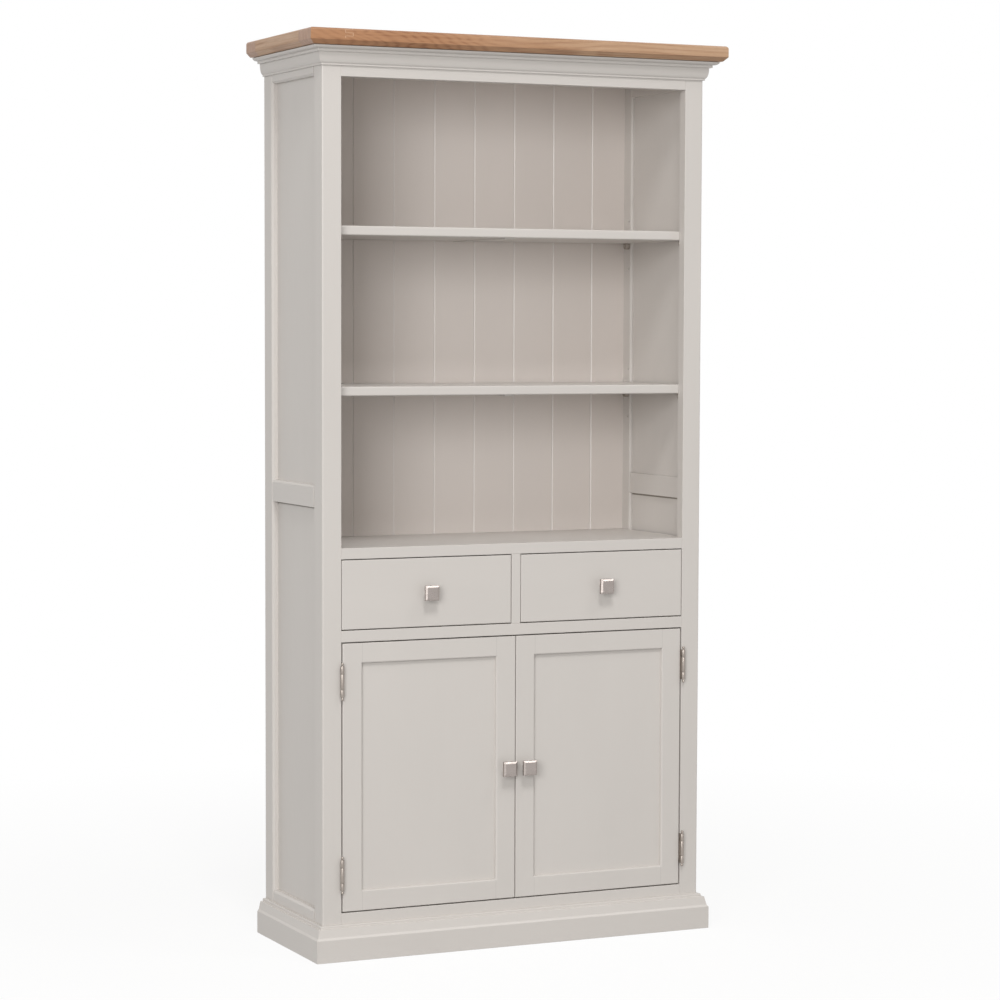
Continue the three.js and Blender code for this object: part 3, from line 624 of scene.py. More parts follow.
# An outline of (outwards, up) points carried along the front of the carcase or along one side,
# mitred where two lengths meet: the front's ends and the sides' front ends stand out by "outwards".
def moulding(name, outline, side):
    outwards, up = outline.T
    if side == "front":
        ends = [-halfWidth - outwards, halfWidth + outwards]
        points = [columns(x, faceY - outwards, up) for x in ends]
        grain = "x"
    else:
        x = hands[side] * (halfWidth + outwards)
        points = [columns(x, y + 0 * up, up) for y in (faceY - outwards, backY)]
        grain = "y"
    return solid(name, points, paint[grain])


# Points of a quarter ellipse that leaves its foot level and meets its top upright:
# foot + (top - foot) (sin t, 1 - cos t).
def quarter(footU, footV, topU, topV):
    turn = quarterTurn(curvePoints)
    return columns(footU + (topU - footU) * np.sin(turn), topV - (topV - footV) * np.cos(turn))


# Each turn of an outline sharper than a curve's is cut by a small straight arris, and a point on
# either side of it keeps the flats shading flat. An open outline keeps its two ends.
def withArrises(outline, size, isOpen=False):
    outline = floats(outline)
    before = np.roll(outline, 1, axis=0) - outline
    after = np.roll(outline, -1, axis=0) - outline
    lengths = np.linalg.norm(before, axis=1), np.linalg.norm(after, axis=1)
    cosine = -(before * after).sum(1) / (lengths[0] * lengths[1])
    held = size + smallHold
    sharp = (cosine < mildestArris) & (np.minimum(*lengths) > arrisRoom * held)
    if isOpen:
        sharp[[0, -1]] = False
    cuts = [(before, 0, held), (before, 0, size), (after, 1, size), (after, 1, held)]
    quads = [outline + way / lengths[end][:, None] * (sharp * cut)[:, None] for way, end, cut in cuts]
    return np.stack(quads, 1)[np.stack([np.full_like(sharp, True)] + [sharp] * 3, 1)]


topLow, topHigh = span("oak_top")
stileLow, stileHigh = span("face_stile_right")
halfWidth, faceY = stileHigh[0], stileLow[1]
openingHalf = stileLow[0]
backY, topUnderside = topHigh[1], topLow[2]
sideLow, sideHigh = span("side_frame_right")
innerHalf = sideLow[0]

# Oak top

topLook = {
    "chamfer": 9.0,  # below, at the front and sides
    "chamferPoints": 5,
    "ease": 6.0,  # above
    "easePoints": 7,
    "frontStrip": 69.0,
    "sideStrip": 70.0,
    "backStrip": 55.0,
    "middleBoards": 5,
    "seam": 0.12,  # each board is drawn in by this much at a seam
    "endGrainFrom": 0.4,  # least share of a face's normal along the grain
}


# A strip of the top that reaches outer edges on some sides. A point's height lies between
# low + max(0, chamfer - d) and high - ease + sqrt(ease^2 - max(0, ease - d)^2), where d is its
# distance from the nearest outer edge.
def topStrip(name, x, y, grain, boardNumber):
    chamfer, ease, seam = topLook["chamfer"], topLook["ease"], topLook["seam"]
    steps = np.unique(joined(
        np.linspace(0, chamfer, topLook["chamferPoints"]),
        ease * (1 - np.cos(quarterTurn(topLook["easePoints"]))),
        [ease + smallHold, chamfer + smallHold],
    ))

    # Grid lines between two limits on an axis: all the steps at an outer edge, a pair at a seam.
    def lines(limits, axis):
        low, high = limits
        if low <= topLow[axis] + touching:
            start = low + steps
        else:
            start = np.array([low + seam, low + seam + smallHold])
        if axis == 0 and high >= topHigh[0] - touching:
            return joined(start, high - steps[::-1])
        gap = 0 if high >= backY - touching else seam
        return joined(start, [high - gap - smallHold, high - gap])

    u, v = lines(x, 0), lines(y, 1)
    fromSides, fromFront = topHigh[0] - np.abs(u), v - topLow[1]
    distance = np.minimum(fromSides[:, None], fromFront[None, :])
    below = topLow[2] + np.maximum(0, chamfer - distance)
    inner = np.clip(ease - distance, 0, ease)
    above = topHigh[2] - ease + np.sqrt(ease ** 2 - inner ** 2)
    gridU, gridV = np.meshgrid(u, v, indexing="ij")
    upper = np.stack([gridU, gridV, above], -1)
    lower = np.stack([gridU, gridV, below], -1)
    piece = solid(name, np.concatenate([upper, lower[:, ::-1]], axis=1), oak[grain], oakEnd)
    mesh = piece.data
    repaint(mesh, faceNormals(mesh)[:, "xy".index(grain)] > topLook["endGrainFrom"])
    number = mesh.attributes.new("board", "FLOAT", "POINT")
    number.data.foreach_set("value", np.full(len(mesh.vertices), boardNumber, dtype=np.float32))
    place(piece, "carcase", "oak", "oak_top")


innerX = topHigh[0] - topLook["sideStrip"]
frontStripY = topLow[1] + topLook["frontStrip"]
backStripY = topHigh[1] - topLook["backStrip"]
topStrip("oak_front_strip", (topLow[0], topHigh[0]), (topLow[1], frontStripY), "x", 0.0)
topStrip("oak_back_strip", (topLow[0], topHigh[0]), (backStripY, backY), "x", 1.3)
topStrip("oak_left_strip", (topLow[0], -innerX), (frontStripY, backStripY), "y", 2.1)
topStrip("oak_right_strip", (innerX, topHigh[0]), (frontStripY, backStripY), "y", 3.4)
middleEdges = np.linspace(frontStripY, backStripY, topLook["middleBoards"] + 1)
for index, (start, end) in enumerate(zip(middleEdges, middleEdges[1:])):
    topStrip("oak_middle_board_" + str(index + 1), (-innerX, innerX), (start, end), "x", 4.7 + index)
print("oak top made")

# Cornice and plinth

corniceLook = {
    "foot": (3.5, 4.0),  # each is how far it stands out and how high it is
    "ovolo": (10.0, 23.0),
    "fillet": (15.5, 5.5),
    "crownSetback": 1.5,
    "crown": 27.0,
    "gap": 1.0,  # under the oak top
    "arris": 0.4,
}
plinthLook = {
    "face": (20.0, 48.0),
    "shoulder": (16.5, 4.5),
    "neck": (12.5, 17.5),
    "bead": (7.0, 6.0),
    "beadEase": 1.8,
    "beadPoints": 6,
    "arris": 0.5,
}


# From the foot up: a fillet, an ovolo, a wider fillet and the crown, of which the ovolo and the
# crown are quarter ellipses.
def corniceOutline():
    look = corniceLook
    base, top = span("cornice_front")[0][2], topUnderside - look["gap"]
    (foot, footHeight), (ovolo, ovoloHeight), (fillet, filletHeight) = (
        look[key] for key in ("foot", "ovolo", "fillet")
    )
    footTop = base + footHeight
    ovoloTop = footTop + ovoloHeight
    crownFoot = ovoloTop + filletHeight
    outline = joined(
        [[0, base], [foot, base]],
        quarter(foot, footTop, ovolo, ovoloTop),
        [[fillet, ovoloTop], [fillet, crownFoot]],
        quarter(fillet + look["crownSetback"], crownFoot, look["crown"], top),
        [[0, top]],
    )
    return withArrises(outline, look["arris"])


# From the floor up: a flat face, a sloping shoulder, a sloping neck, and a bead rounded by a quarter
# circle.
def plinthOutline():
    look = plinthLook
    levels = np.cumsum([look[key][1] for key in ("face", "shoulder", "neck", "bead")])
    face, bead, ease = look["face"][0], look["bead"][0], look["beadEase"]
    turn = quarterTurn(look["beadPoints"])
    outline = joined(
        [[0, 0], [face, 0], [face, levels[0]]],
        [[look["shoulder"][0], levels[1]], [look["neck"][0], levels[2]], [bead, levels[2]]],
        columns(bead - ease + ease * np.cos(turn), levels[3] - ease + ease * np.sin(turn)),
        [[0, levels[3]]],
    )
    return withArrises(outline, look["arris"])


for side in ("front", "left", "right"):
    place(moulding("cornice_on_" + side, corniceOutline(), side), "carcase", "paint", "cornice_" + side)
    place(moulding("plinth_on_" + side, plinthOutline(), side), "carcase", "paint", "plinth_" + side)
print("cornice and plinth made")

# Face frame

frameLook = {"outerRadius": 3.0, "ease": 0.8, "hiddenEase": 0.15, "railEase": 1.0}

for side, hand in hands.items():
    low, high = span("face_stile_" + side)
    ease, hidden, outer = frameLook["ease"], frameLook["hiddenEase"], frameLook["outerRadius"]
    frontCorners = (outer, ease) if hand < 0 else (ease, outer)
    stile = board("stile_" + side, low, high, "z", paint["z"],
                  radii=[*frontCorners, hidden, hidden], steps=[6, 6, 1, 1], endEase=hidden)
    place(stile, "carcase", "paint", "face_stile_" + side)
for node, name, grain in (
    ("face_rail_top", "rail_top", "x"),
    ("face_rail_above_drawers", "rail_above_drawers", "x"),
    ("face_rail_above_doors", "rail_above_doors", "x"),
    ("face_rail_bottom", "rail_bottom", "x"),
    ("drawer_muntin", "muntin", "z"),
):
    part = board(name, *span(node), grain, paint[grain], ease=frameLook["railEase"])
    place(part, "carcase", "paint", node)
print("face frame made")

# Side frames, with the bevel round their windows running the whole length of the stiles

sideLook = {
    "bevel": 4.5,
    "innerEase": 1.0,
    "innerBevel": 3.5,  # on the window side of a back stile
    "edgeEase": 0.15,
    "frontStile": 26.0,
    "backStile": 47.5,
    "rails": {"bottom": (0.0, 102.0), "mid": (957.5, 1004.0), "top": (1859.0, topUnderside)},
    "gap": 4.0,  # between the middle rail and the shoulder of the lower panel
    "gapDepth": 1.4,
    "panelEase": 0.3,
    "tongueEase": 0.1,
    "tongueLap": 1.0,
}
holeLook = {
    "radius": 2.5,
    "depth": 10.0,
    "spacing": 54.0,
    "sides": 16,
    "overrun": 2.0,  # of the drill past the face of the stile
    "seatGap": 0.3,  # between a support and the shelf on it
    "drop": 4.5,  # from the underside of a shelf to the middle of its pins
}


# A board of a side frame, given as it stands on the right. Its section's corners are listed from
# the inner front round by the outer front and the outer back, so the left one is mirrored.
def sideBoard(name, hand, low, high, along, corners):
    low, high = floats(low), floats(high)
    if hand < 0:
        low[0], high[0] = -high[0], -low[0]
        corners = [corners[i] for i in (1, 0, 3, 2)]
    radii, steps = zip(*corners)
    return board(name, low, high, along, paint[along], radii=radii, steps=steps, endEase=sideLook["edgeEase"])


# Round holes for the shelf pins, cut into the inner face of a stile beside the supports.
def boreHoles(piece, hand, supportNode):
    look = holeLook
    low, high = span(supportNode)
    y = (low[1] + high[1]) / 2
    ends = [hand * (innerHalf - look["overrun"]), hand * (innerHalf + look["depth"])]
    radii = [look["radius"]] * 2
    drills = gathered("drills", [
        ringed("drill", [0, y, middle + step * look["spacing"]], "x", ends, radii, look["sides"])
        for middle in pinHeights.values() for step in (-1, 0, 1)
    ])
    cut = piece.modifiers.new("holes", "BOOLEAN")
    cut.operation, cut.object, cut.solver = "DIFFERENCE", drills, "EXACT"
    whole = bpy.data.meshes.new_from_object(piece.evaluated_get(bpy.context.evaluated_depsgraph_get()))
    piece.modifiers.clear()
    piece.data = whole
    shade(whole)
    bpy.data.objects.remove(drills)


low, high = sideLow, sideHigh
bevel = (sideLook["bevel"], 1)
innerBevel = (sideLook["innerBevel"], 1)
soft = (sideLook["innerEase"], 3)
tight = (sideLook["edgeEase"], 1)
pinHeights = {}
for level in ("lower", "upper"):
    supportTop = span("support_" + level + "_back_right")[1][2]
    pinHeights[level] = supportTop + holeLook["seatGap"] - holeLook["drop"]
frontEnd = low[1] + sideLook["frontStile"]
backStart = high[1] - sideLook["backStile"]
for side, hand in hands.items():
    front = sideBoard("side_front_stile_" + side, hand, low, [high[0], frontEnd, high[2]], "z",
                      [tight, tight, bevel, soft])
    back = sideBoard("side_back_stile_" + side, hand, [low[0], backStart, low[2]], high, "z",
                     [innerBevel, bevel, soft, tight])
    boreHoles(front, hand, "support_lower_front_" + side)
    boreHoles(back, hand, "support_lower_back_" + side)
    pieces = [front, back]
    for rail, (base, top) in sideLook["rails"].items():
        lowerOuter = bevel if rail == "top" else tight
        upperOuter = tight if rail == "top" else bevel
        pieces.append(sideBoard("side_" + rail + "_rail_" + side, hand, [low[0], frontEnd, base],
                                [high[0], backStart, top], "y", [soft, lowerOuter, upperOuter, soft]))
    for piece in pieces:
        place(piece, "carcase", "paint", "side_frame_" + side)
    for level in ("upper", "lower"):
        node = "side_panel_" + level + "_" + side
        panelLow, panelHigh = span(node)
        name = "side_" + level + "_panel_" + side
        bodyHigh = panelHigh.copy()
        if level == "lower":
            bodyHigh[2] = sideLook["rails"]["mid"][0] - sideLook["gap"]
            setback = np.array([sideLook["gapDepth"], 0, 0])
            tongueLow = np.array([*panelLow[:2], bodyHigh[2] - sideLook["tongueLap"]]) + setback
            # The tongue takes the darker gap paint: painted shade in the gap under the middle rail.
            tongue = board(name + "_tongue", tongueLow, panelHigh - setback, "y", gapShadePaint,
                           ease=sideLook["tongueEase"])
            place(tongue, "carcase", "paint", node)
        panel = board(name, panelLow, bodyHigh, "z", paint["z"], ease=sideLook["panelEase"])
        place(panel, "carcase", "paint", node)
print("side frames made")

# Back panel

backLook = {
    "spacing": 98.3,
    "sideMargin": 20.0,  # least space between a groove and a side of the carcase
    "across": (-2.45, -2.2, -1.9, -1.6, -0.25, 0, 0.25, 1.6, 1.9, 2.2, 2.45),  # points over one groove
    "depths": (0, 0, 0.08, 0.35, 1.9, 2.0, 1.9, 0.35, 0.08, 0, 0),
    "slopeFrom": 0.3,  # least share of a sloping face's normal, both across and forwards
}


# A sheet whose front face dips in a V at even spacings from the middle, carried upwards.
# The sloping faces of the Vs take a paler paint, a painted highlight.
def backSheet():
    look = backLook
    low, high = span("back_panel")
    count = int((innerHalf - look["sideMargin"]) / look["spacing"] - 0.5)
    middles = (np.arange(-count - 1, count + 1) + 0.5) * look["spacing"]
    grooveX = (middles[:, None] + np.array(look["across"])).ravel()
    grooveY = low[1] + np.tile(look["depths"], len(middles))
    x = joined([low[0]], grooveX, [high[0], high[0], low[0]])
    y = joined([low[1]], grooveY, [low[1], high[1], high[1]])
    points = [columns(x, y, 0 * x + z) for z in (low[2], high[2])]
    # The sheet takes the lightened inside paint, painted light for the bays.
    sheet = solid("grooved_back", points, insidePaintLightened["z"], grooveHighlightPaint)
    # The sloping faces of the grooves take the paler groove paint, a painted highlight.
    repaint(sheet.data, (faceNormals(sheet.data)[:, :2] > look["slopeFrom"]).all(1))
    return sheet


pinLook = {
    "radius": 2.2,
    "rim": (0.8, 0.4),  # share of the radius that is flat, and of the height that is upright
    "height": 0.8,
    "sink": 1.0,
    "fromEdge": 14.0,
    "columns": 5,
    "rows": 13,
    "sides": 12,
}


# Flat pin heads round the rear face of the back sheet, a column up each side and a row at each end.
def backPins():
    look = pinLook
    low, high = span("back_panel")
    x = np.linspace(low[0] + look["fromEdge"], high[0] - look["fromEdge"], look["columns"])
    z = np.linspace(low[2] + look["fromEdge"], high[2] - look["fromEdge"], look["rows"])
    spots = [(a, b) for a in x[[0, -1]] for b in z] + [(a, b) for a in x[1:-1] for b in z[[0, -1]]]
    (crown, edge), height, radius = look["rim"], look["height"], look["radius"]
    levels = high[1] + np.array([-look["sink"], height * edge, height, height])
    reaches = [radius, radius, radius * crown, 0]
    return gathered("back_pins", [
        ringed("pin", [a, 0, b], "y", levels, reaches, look["sides"], zinc) for a, b in spots
    ])


place(backSheet(), "carcase", "inside_paint", "back_panel")
place(backPins(), "carcase", "nickel", "back_panel")

# Boards that lie level

levelEase = 0.8

# The ceiling and the cupboard's boards take the lightened inside paint, painted light.
for node, name, material, slotName in (
    ("ceiling_board", "ceiling", insidePaintLightened, "inside_paint"),
    ("deck_board", "deck", paint, "paint"),
    ("cupboard_floor", "floor_of_cupboard", insidePaintLightened, "inside_paint"),
    ("cupboard_shelf", "shelf_in_cupboard", insidePaintLightened, "inside_paint"),
):
    place(board(name, *span(node), "x", material["x"], ease=levelEase), "carcase", slotName, node)

shelfLook = {
    "ease": 3.0,
    "backEase": 1.0,
    "battenWidth": 22.0,
    "battenHeight": 3.0,
    "battenSetback": 14.0,
    "battenLap": 2.0,  # up into the plank
    "battenEase": 1.2,
}

for level in ("lower", "upper"):
    look = shelfLook
    node = "shelf_" + level
    low, high = span(node)
    plankLow = low + [0, 0, look["battenHeight"]]
    plank = board("plank_" + level, plankLow, high, "x", paint["x"], steps=[6, 3, 3, 6],
                  radii=[look["ease"], look["backEase"], look["backEase"], look["ease"]], endEase=levelEase)
    half, setback = look["battenWidth"] / 2, look["battenSetback"]
    batten = board("batten_" + level, [-half, low[1] + setback, low[2]],
                   [half, high[1] - setback, plankLow[2] + look["battenLap"]], "y", paint["y"],
                   ease=look["battenEase"])
    for piece in (plank, batten):
        place(piece, "carcase", "paint", node)

runnerLook = {"guideSetback": 20.0, "guideSink": 1.0, "guideEase": 1.0}

runnerLow, runnerHigh = span("drawer_runner_board")
runnerTop = span("face_rail_above_doors")[1][2]
place(board("runner_board", runnerLow, [*runnerHigh[:2], runnerTop], "x", paleWood["x"]),
      "carcase", "drawer_wood", "drawer_runner_board")
muntinHalf = span("drawer_muntin")[1][0]
for name, x0, x1 in (
    ("left", -innerHalf, -openingHalf),
    ("middle", -muntinHalf, muntinHalf),
    ("right", openingHalf, innerHalf),
):
    guideLow = [x0, runnerLow[1], runnerTop - runnerLook["guideSink"]]
    guideHigh = [x1, runnerHigh[1] - runnerLook["guideSetback"], runnerHigh[2]]
    guide = board("drawer_guide_" + name, guideLow, guideHigh, "y", paleWood["y"],
                  ease=runnerLook["guideEase"])
    place(guide, "carcase", "drawer_wood", "drawer_runner_board")
print("back, shelves and boards made")

# Shelf supports

supportLook = {
    "play": 0.3,  # between the block and the side
    "corner": 0.4,
    "bottomPoints": 17,
    "ease": 0.6,
    "easeShares": ((0.0, 1.0), (0.3, 0.3), (1.0, 0.0)),  # how far in from the end, and drawn in
    "cup": 3.9,  # radius of the dish in the end of the block, round the head of the pin
    "cupRings": ((1.6, -0.9), (0.3, -0.1), (0.0, 0.2)),  # depths, and how far beyond that radius
    "head": ((2.1, 1.9), (0.7, 1.9), (0.45, 1.6), (0.4, 0.0)),  # depths and radii
    "headSides": 24,
    "pinRadius": 2.3,
    "pinEndPlay": 0.2,
    "pinEase": 0.5,
    "pinSides": 20,
}


# A block with a half-round bottom, drawn in by a small ease at its open end, where the head of the
# pin lies in a dish, and the pin that holds it in the side.
def support(level, end, side):
    look = supportLook
    node = "support_" + level + "_" + end + "_" + side
    hand = hands[side]
    low, high = span(node)
    row, top = (low[1] + high[1]) / 2, high[2]
    half, corner = (high[1] - low[1]) / 2, look["corner"]
    wallEnd = hand * (innerHalf - look["play"])
    openEnd = low[0] if hand > 0 else high[0]
    inwards = np.sign(wallEnd - openEnd)
    turn = np.linspace(0, np.pi, look["bottomPoints"])
    middle = np.array([0, low[2] + half])
    outline = joined(
        [[corner - half, top], [half - corner, top], [half, top - corner]],
        middle + half * columns(np.cos(turn), -np.sin(turn)),
        [[-half, top - corner]],
    )
    away = outline - middle
    angle = np.arctan2(away[:, 1], away[:, 0])
    rim = columns(np.cos(angle), np.sin(angle))
    ease = look["ease"]
    rings = []
    for depth, beyond in look["cupRings"]:
        rings.append((openEnd + inwards * depth, middle + rim * (look["cup"] + beyond)))
    for along, drawnIn in look["easeShares"]:
        rings.append((openEnd + inwards * ease * along, middle + away * (1 - drawnIn * ease / half)))
    rings.append((wallEnd, outline))
    points = [columns(0 * ring[:, 0] + x, row + ring[:, 0], ring[:, 1]) for x, ring in rings]
    block = solid("shelf_" + node, points, zinc)
    start, stop = sorted([wallEnd, hand * (innerHalf + holeLook["depth"] - look["pinEndPlay"])])
    reach, pinEase = look["pinRadius"], look["pinEase"]
    pin = ringed("pin_of_" + node, [0, row, pinHeights[level]], "x",
                 [start, start + pinEase, stop - pinEase, stop],
                 [reach - pinEase, reach, reach, reach - pinEase], look["pinSides"], zinc)
    depths, reaches = np.transpose(look["head"])
    head = ringed("head_of_pin_of_" + node, [0, row, middle[1]], "x",
                  openEnd + inwards * depths, reaches, look["headSides"], zinc)
    for piece in (block, pin, head):
        place(piece, "carcase", "nickel", node)


for level in ("lower", "upper"):
    for end in ("front", "back"):
        for side in hands:
            support(level, end, side)
print("shelf supports made")

# Knobs

knobLook = {
    "bevel": (4.0, 2.8),  # round the face: across it, and back from it
    "backBevel": 1.25,
    "rise": 0.4,  # of the middle of the face above its edge
    "flat": 0.6,  # width of the flat middle, as a share of the face
    "plate": 9.5,
    "corner": 0.7,
    "cornerSteps": 4,
    "arris": 0.2,
    "stem": 5.0,
    "stemFoot": ((0.5, 1.6), (0.0, 3.0)),  # beyond the stem and above the flange, twice
    "stemLap": 1.0,  # into the plate
    "stemSides": 40,
    "flange": 6.6,
    "flangeEase": 0.4,
    "flangeRound": (0.6, 0.3),  # drawn in, and below and above the flange's thickness
    "flangeThickness": 1.5,
}


# A square plate on a round stem. The plate is a square outline with small round corners, carried
# along the (half width, distance from the foot) points of its profile; the stem is turned.
def knob(name, body, node):
    look = knobLook
    low, high = span(node)
    centre = np.array([(low[0] + high[0]) / 2, high[1], (low[2] + high[2]) / 2])
    half, depth = (high[0] - low[0]) / 2, high[1] - low[1]
    (inwards, slope), foot = look["bevel"], look["backBevel"]
    back, edge, face = depth - look["plate"], depth - look["rise"], half - inwards
    profile = withArrises([
        [0, back], [half - foot, back], [half, back + foot], [half, edge - slope],
        [face, edge], [face * look["flat"], depth], [0, depth],
    ], look["arris"], isOpen=True)
    outline = easedSection([-half, -half], [half, half], [look["corner"]] * 4, [look["cornerSteps"]] * 4)
    points = np.empty((len(profile), len(outline), 3))
    points[..., [0, 2]] = centre[[0, 2]] + outline * (profile[:, :1] / half)[:, None]
    points[..., 1] = centre[1] - profile[:, 1:]
    plate = solid(name, points, nickel["x"])
    flange, thick, stem = look["flange"], look["flangeThickness"], look["stem"]
    ease, (drawnIn, rounded) = look["flangeEase"], look["flangeRound"]
    turned = [[0, 0], [flange - ease, 0], [flange, ease], [flange, thick - rounded]]
    turned += [[flange - drawnIn, thick + rounded]]
    turned += [[stem + beyond, thick + above] for beyond, above in look["stemFoot"]]
    turned += [[stem, back + look["stemLap"]], [0, back + look["stemLap"]]]
    reaches, levels = np.transpose(turned)
    stemName = name.replace("knob", "stem_of_knob")
    stemPiece = ringed(stemName, centre, "y", -levels, reaches, look["stemSides"], nickel["y"])
    for piece in (plate, stemPiece):
        place(piece, body, "nickel", node)


# Drawers

frontClearance = 0.5  # under a drawer front, and under and over a door, beyond the frame's gap
drawerLook = {
    "frontEase": 1.6,
    "frontBackEase": 0.6,
    "thickness": 12.0,  # of the boards of a box
    "ease": 1.2,
    "backDrop": 1.0,  # of the back board's edges, from those of the sides
    "bottomEase": 0.4,
}

for side in hands:
    look = drawerLook
    body, thickness, ease, frontEase = "drawer_" + side, look["thickness"], look["ease"], look["frontEase"]
    low, high = span("drawer_front_" + side)
    low[2] += frontClearance
    backEase = look["frontBackEase"]
    front = board("front_of_drawer_" + side, low, high, "x", paint["x"],
                  radii=[frontEase, backEase, backEase, frontEase], endEase=frontEase)
    place(front, body, "paint", "drawer_front_" + side)
    boxLow, boxHigh = span("drawer_box_" + side)
    innerLow, innerHigh = boxLow[0] + thickness, boxHigh[0] - thickness
    for name, x0, x1 in (("outer", boxLow[0], innerLow), ("inner", innerHigh, boxHigh[0])):
        part = board(body + "_side_" + name, [x0, *boxLow[1:]], [x1, *boxHigh[1:]], "y", paleWood["y"],
                     ease=ease)
        place(part, body, "drawer_wood", "drawer_box_" + side)
    rear = board(body + "_back", [innerLow, boxHigh[1] - thickness, boxLow[2] + look["backDrop"]],
                 [innerHigh, boxHigh[1], boxHigh[2] - look["backDrop"]], "x", paleWood["x"], ease=ease)
    place(rear, body, "drawer_wood", "drawer_box_" + side)
    bottom = board(body + "_bottom", *span("drawer_bottom_" + side), "x", paleWood["x"],
                   ease=look["bottomEase"])
    place(bottom, body, "drawer_wood", "drawer_bottom_" + side)
    knob("knob_of_drawer_" + side, body, "drawer_knob_" + side)
print("drawers made")

# Doors

doorLook = {
    "stile": 45.0,
    "rail": 43.0,
    "edgeEase": 1.6,
    "windowEase": 4.0,
    "backEase": 1.0,
    "easePoints": 5,
    "panelEase": 0.3,
}


# A frame round a window: a section of (distance from the window or from the outer edge, depth)
# points is carried round the four corners, so the rails and stiles meet in a mitre.
def doorFrame(side):
    low, high = span("door_frame_" + side)
    low[2] += frontClearance
    high[2] -= frontClearance
    look = doorLook
    windowX = low[0] + look["stile"], high[0] - look["stile"]
    windowZ = low[2] + look["rail"], high[2] - look["rail"]
    turn = quarterTurn(look["easePoints"])

    # From the flat face at y round a quarter circle, into the wood.
    def rounded(radius, y, inwards):
        quarterCircle = columns(radius * (1 - np.sin(turn)), y + inwards * radius * (1 - np.cos(turn)))
        return joined([[radius + smallHold, y]], quarterCircle)

    rear = rounded(look["backEase"], high[1], -1)[::-1]
    windowSide = joined(rounded(look["windowEase"], low[1], 1), rear)
    outerSide = joined(rounded(look["edgeEase"], low[1], 1), rear)
    points = []
    for i, k in ((0, 0), (1, 0), (1, 1), (0, 1)):
        awayX, awayZ = 2 * i - 1, 2 * k - 1
        atWindow = columns(windowX[i] + awayX * windowSide[:, 0], windowSide[:, 1],
                           windowZ[k] + awayZ * windowSide[:, 0])
        atEdge = columns((low[0], high[0])[i] - awayX * outerSide[:, 0], outerSide[:, 1],
                         (low[2], high[2])[k] - awayZ * outerSide[:, 0])
        points.append(joined(atWindow[::-1], atEdge))
    return solid("frame_of_door_" + side, points, doorPaint, closed=True)


low, high = span("door_frame_right")
jointPlaces = (low[0] + doorLook["stile"], high[0] - doorLook["stile"])
jointLevels = (low[2] + doorLook["rail"], high[2] - doorLook["rail"])
paintJointed = paintGroup("paint over joints", paintLook["outside"], (jointPlaces, jointLevels))
doorPaint = groupMaterial("paint on the door frames", paintJointed, "z", paintHeight)
for side in hands:
    body, node = "door_" + side, "door_panel_" + side
    place(doorFrame(side), body, "paint", "door_frame_" + side)
    panel = board("panel_of_door_" + side, *span(node), "z", paint["z"], ease=doorLook["panelEase"])
    place(panel, body, "paint", node)
    knob("knob_of_door_" + side, body, "door_knob_" + side)
print("doors made")

# Hinges

hingeLook = {
    "middle": 33.0,  # length of the middle knuckle
    "gap": 0.3,
    "bore": 1.6,
    "barrel": 4.1,
    "barrelSides": 40,
    "knuckleEase": 0.7,
    "rimShare": 0.3,  # of the ease, at the middle point of a knuckle's rim
    "ball": 2.9,
    "ballTurns": (40, 180, 9),  # from the neck to the tip, and the number of points
    "neck": 1.8,
    "neckFoot": 0.1,  # above the knuckle
    "neckLength": 1.4,
    "leaf": 1.2,
    "leafEase": 0.2,
    "play": 0.2,  # beside and between the leaves
    "sweep": 5.0,  # from the axis to the front edge of a leaf
    "tabLap": 0.5,  # of a tab behind that edge
}
screwLook = {
    "head": ((-0.6, 3.0), (-0.05, 3.0), (0.06, 2.85), (0.06, 0.0)),  # heights and radii
    "recess": ((-0.3, 1.8), (0.08, 1.8), (0.08, 0.0)),
    "headSides": 24,
    "recessSides": 32,
    "recessPower": 0.5,
    "heights": (-24.0, 0.0, 24.0),  # from the middle of the hinge
    "placeShare": 0.55,  # of the way back along a leaf
}


# A screw head lying in a face that looks along X, with a four-pointed recess in it. The recess is a dark
# solid of the outline |a|^(1/2) + |b|^(1/2) = r^(1/2), just proud of the head: painted shade where the hollow
# would be.
def screwHead(name, centre, hand):
    look = screwLook
    levels, reaches = np.transpose(look["head"])
    head = ringed(name, centre, "x", hand * levels, reaches, look["headSides"], nickel["y"])
    levels, reaches = np.transpose(look["recess"])
    recess = ringed(name, centre, "x", hand * levels, reaches, look["recessSides"], magnetMetalAndRecessShade,
                    power=look["recessPower"])
    return head, recess


# The rounded rim of a knuckle: (radius, level) points from its end, at a level, on to its side.
def knuckleRim(level, onwards):
    radius, ease = hingeLook["barrel"], hingeLook["knuckleEase"]
    part = hingeLook["rimShare"] * ease
    return [[radius - ease, level], [radius - part, level + onwards * part], [radius, level + onwards * ease]]


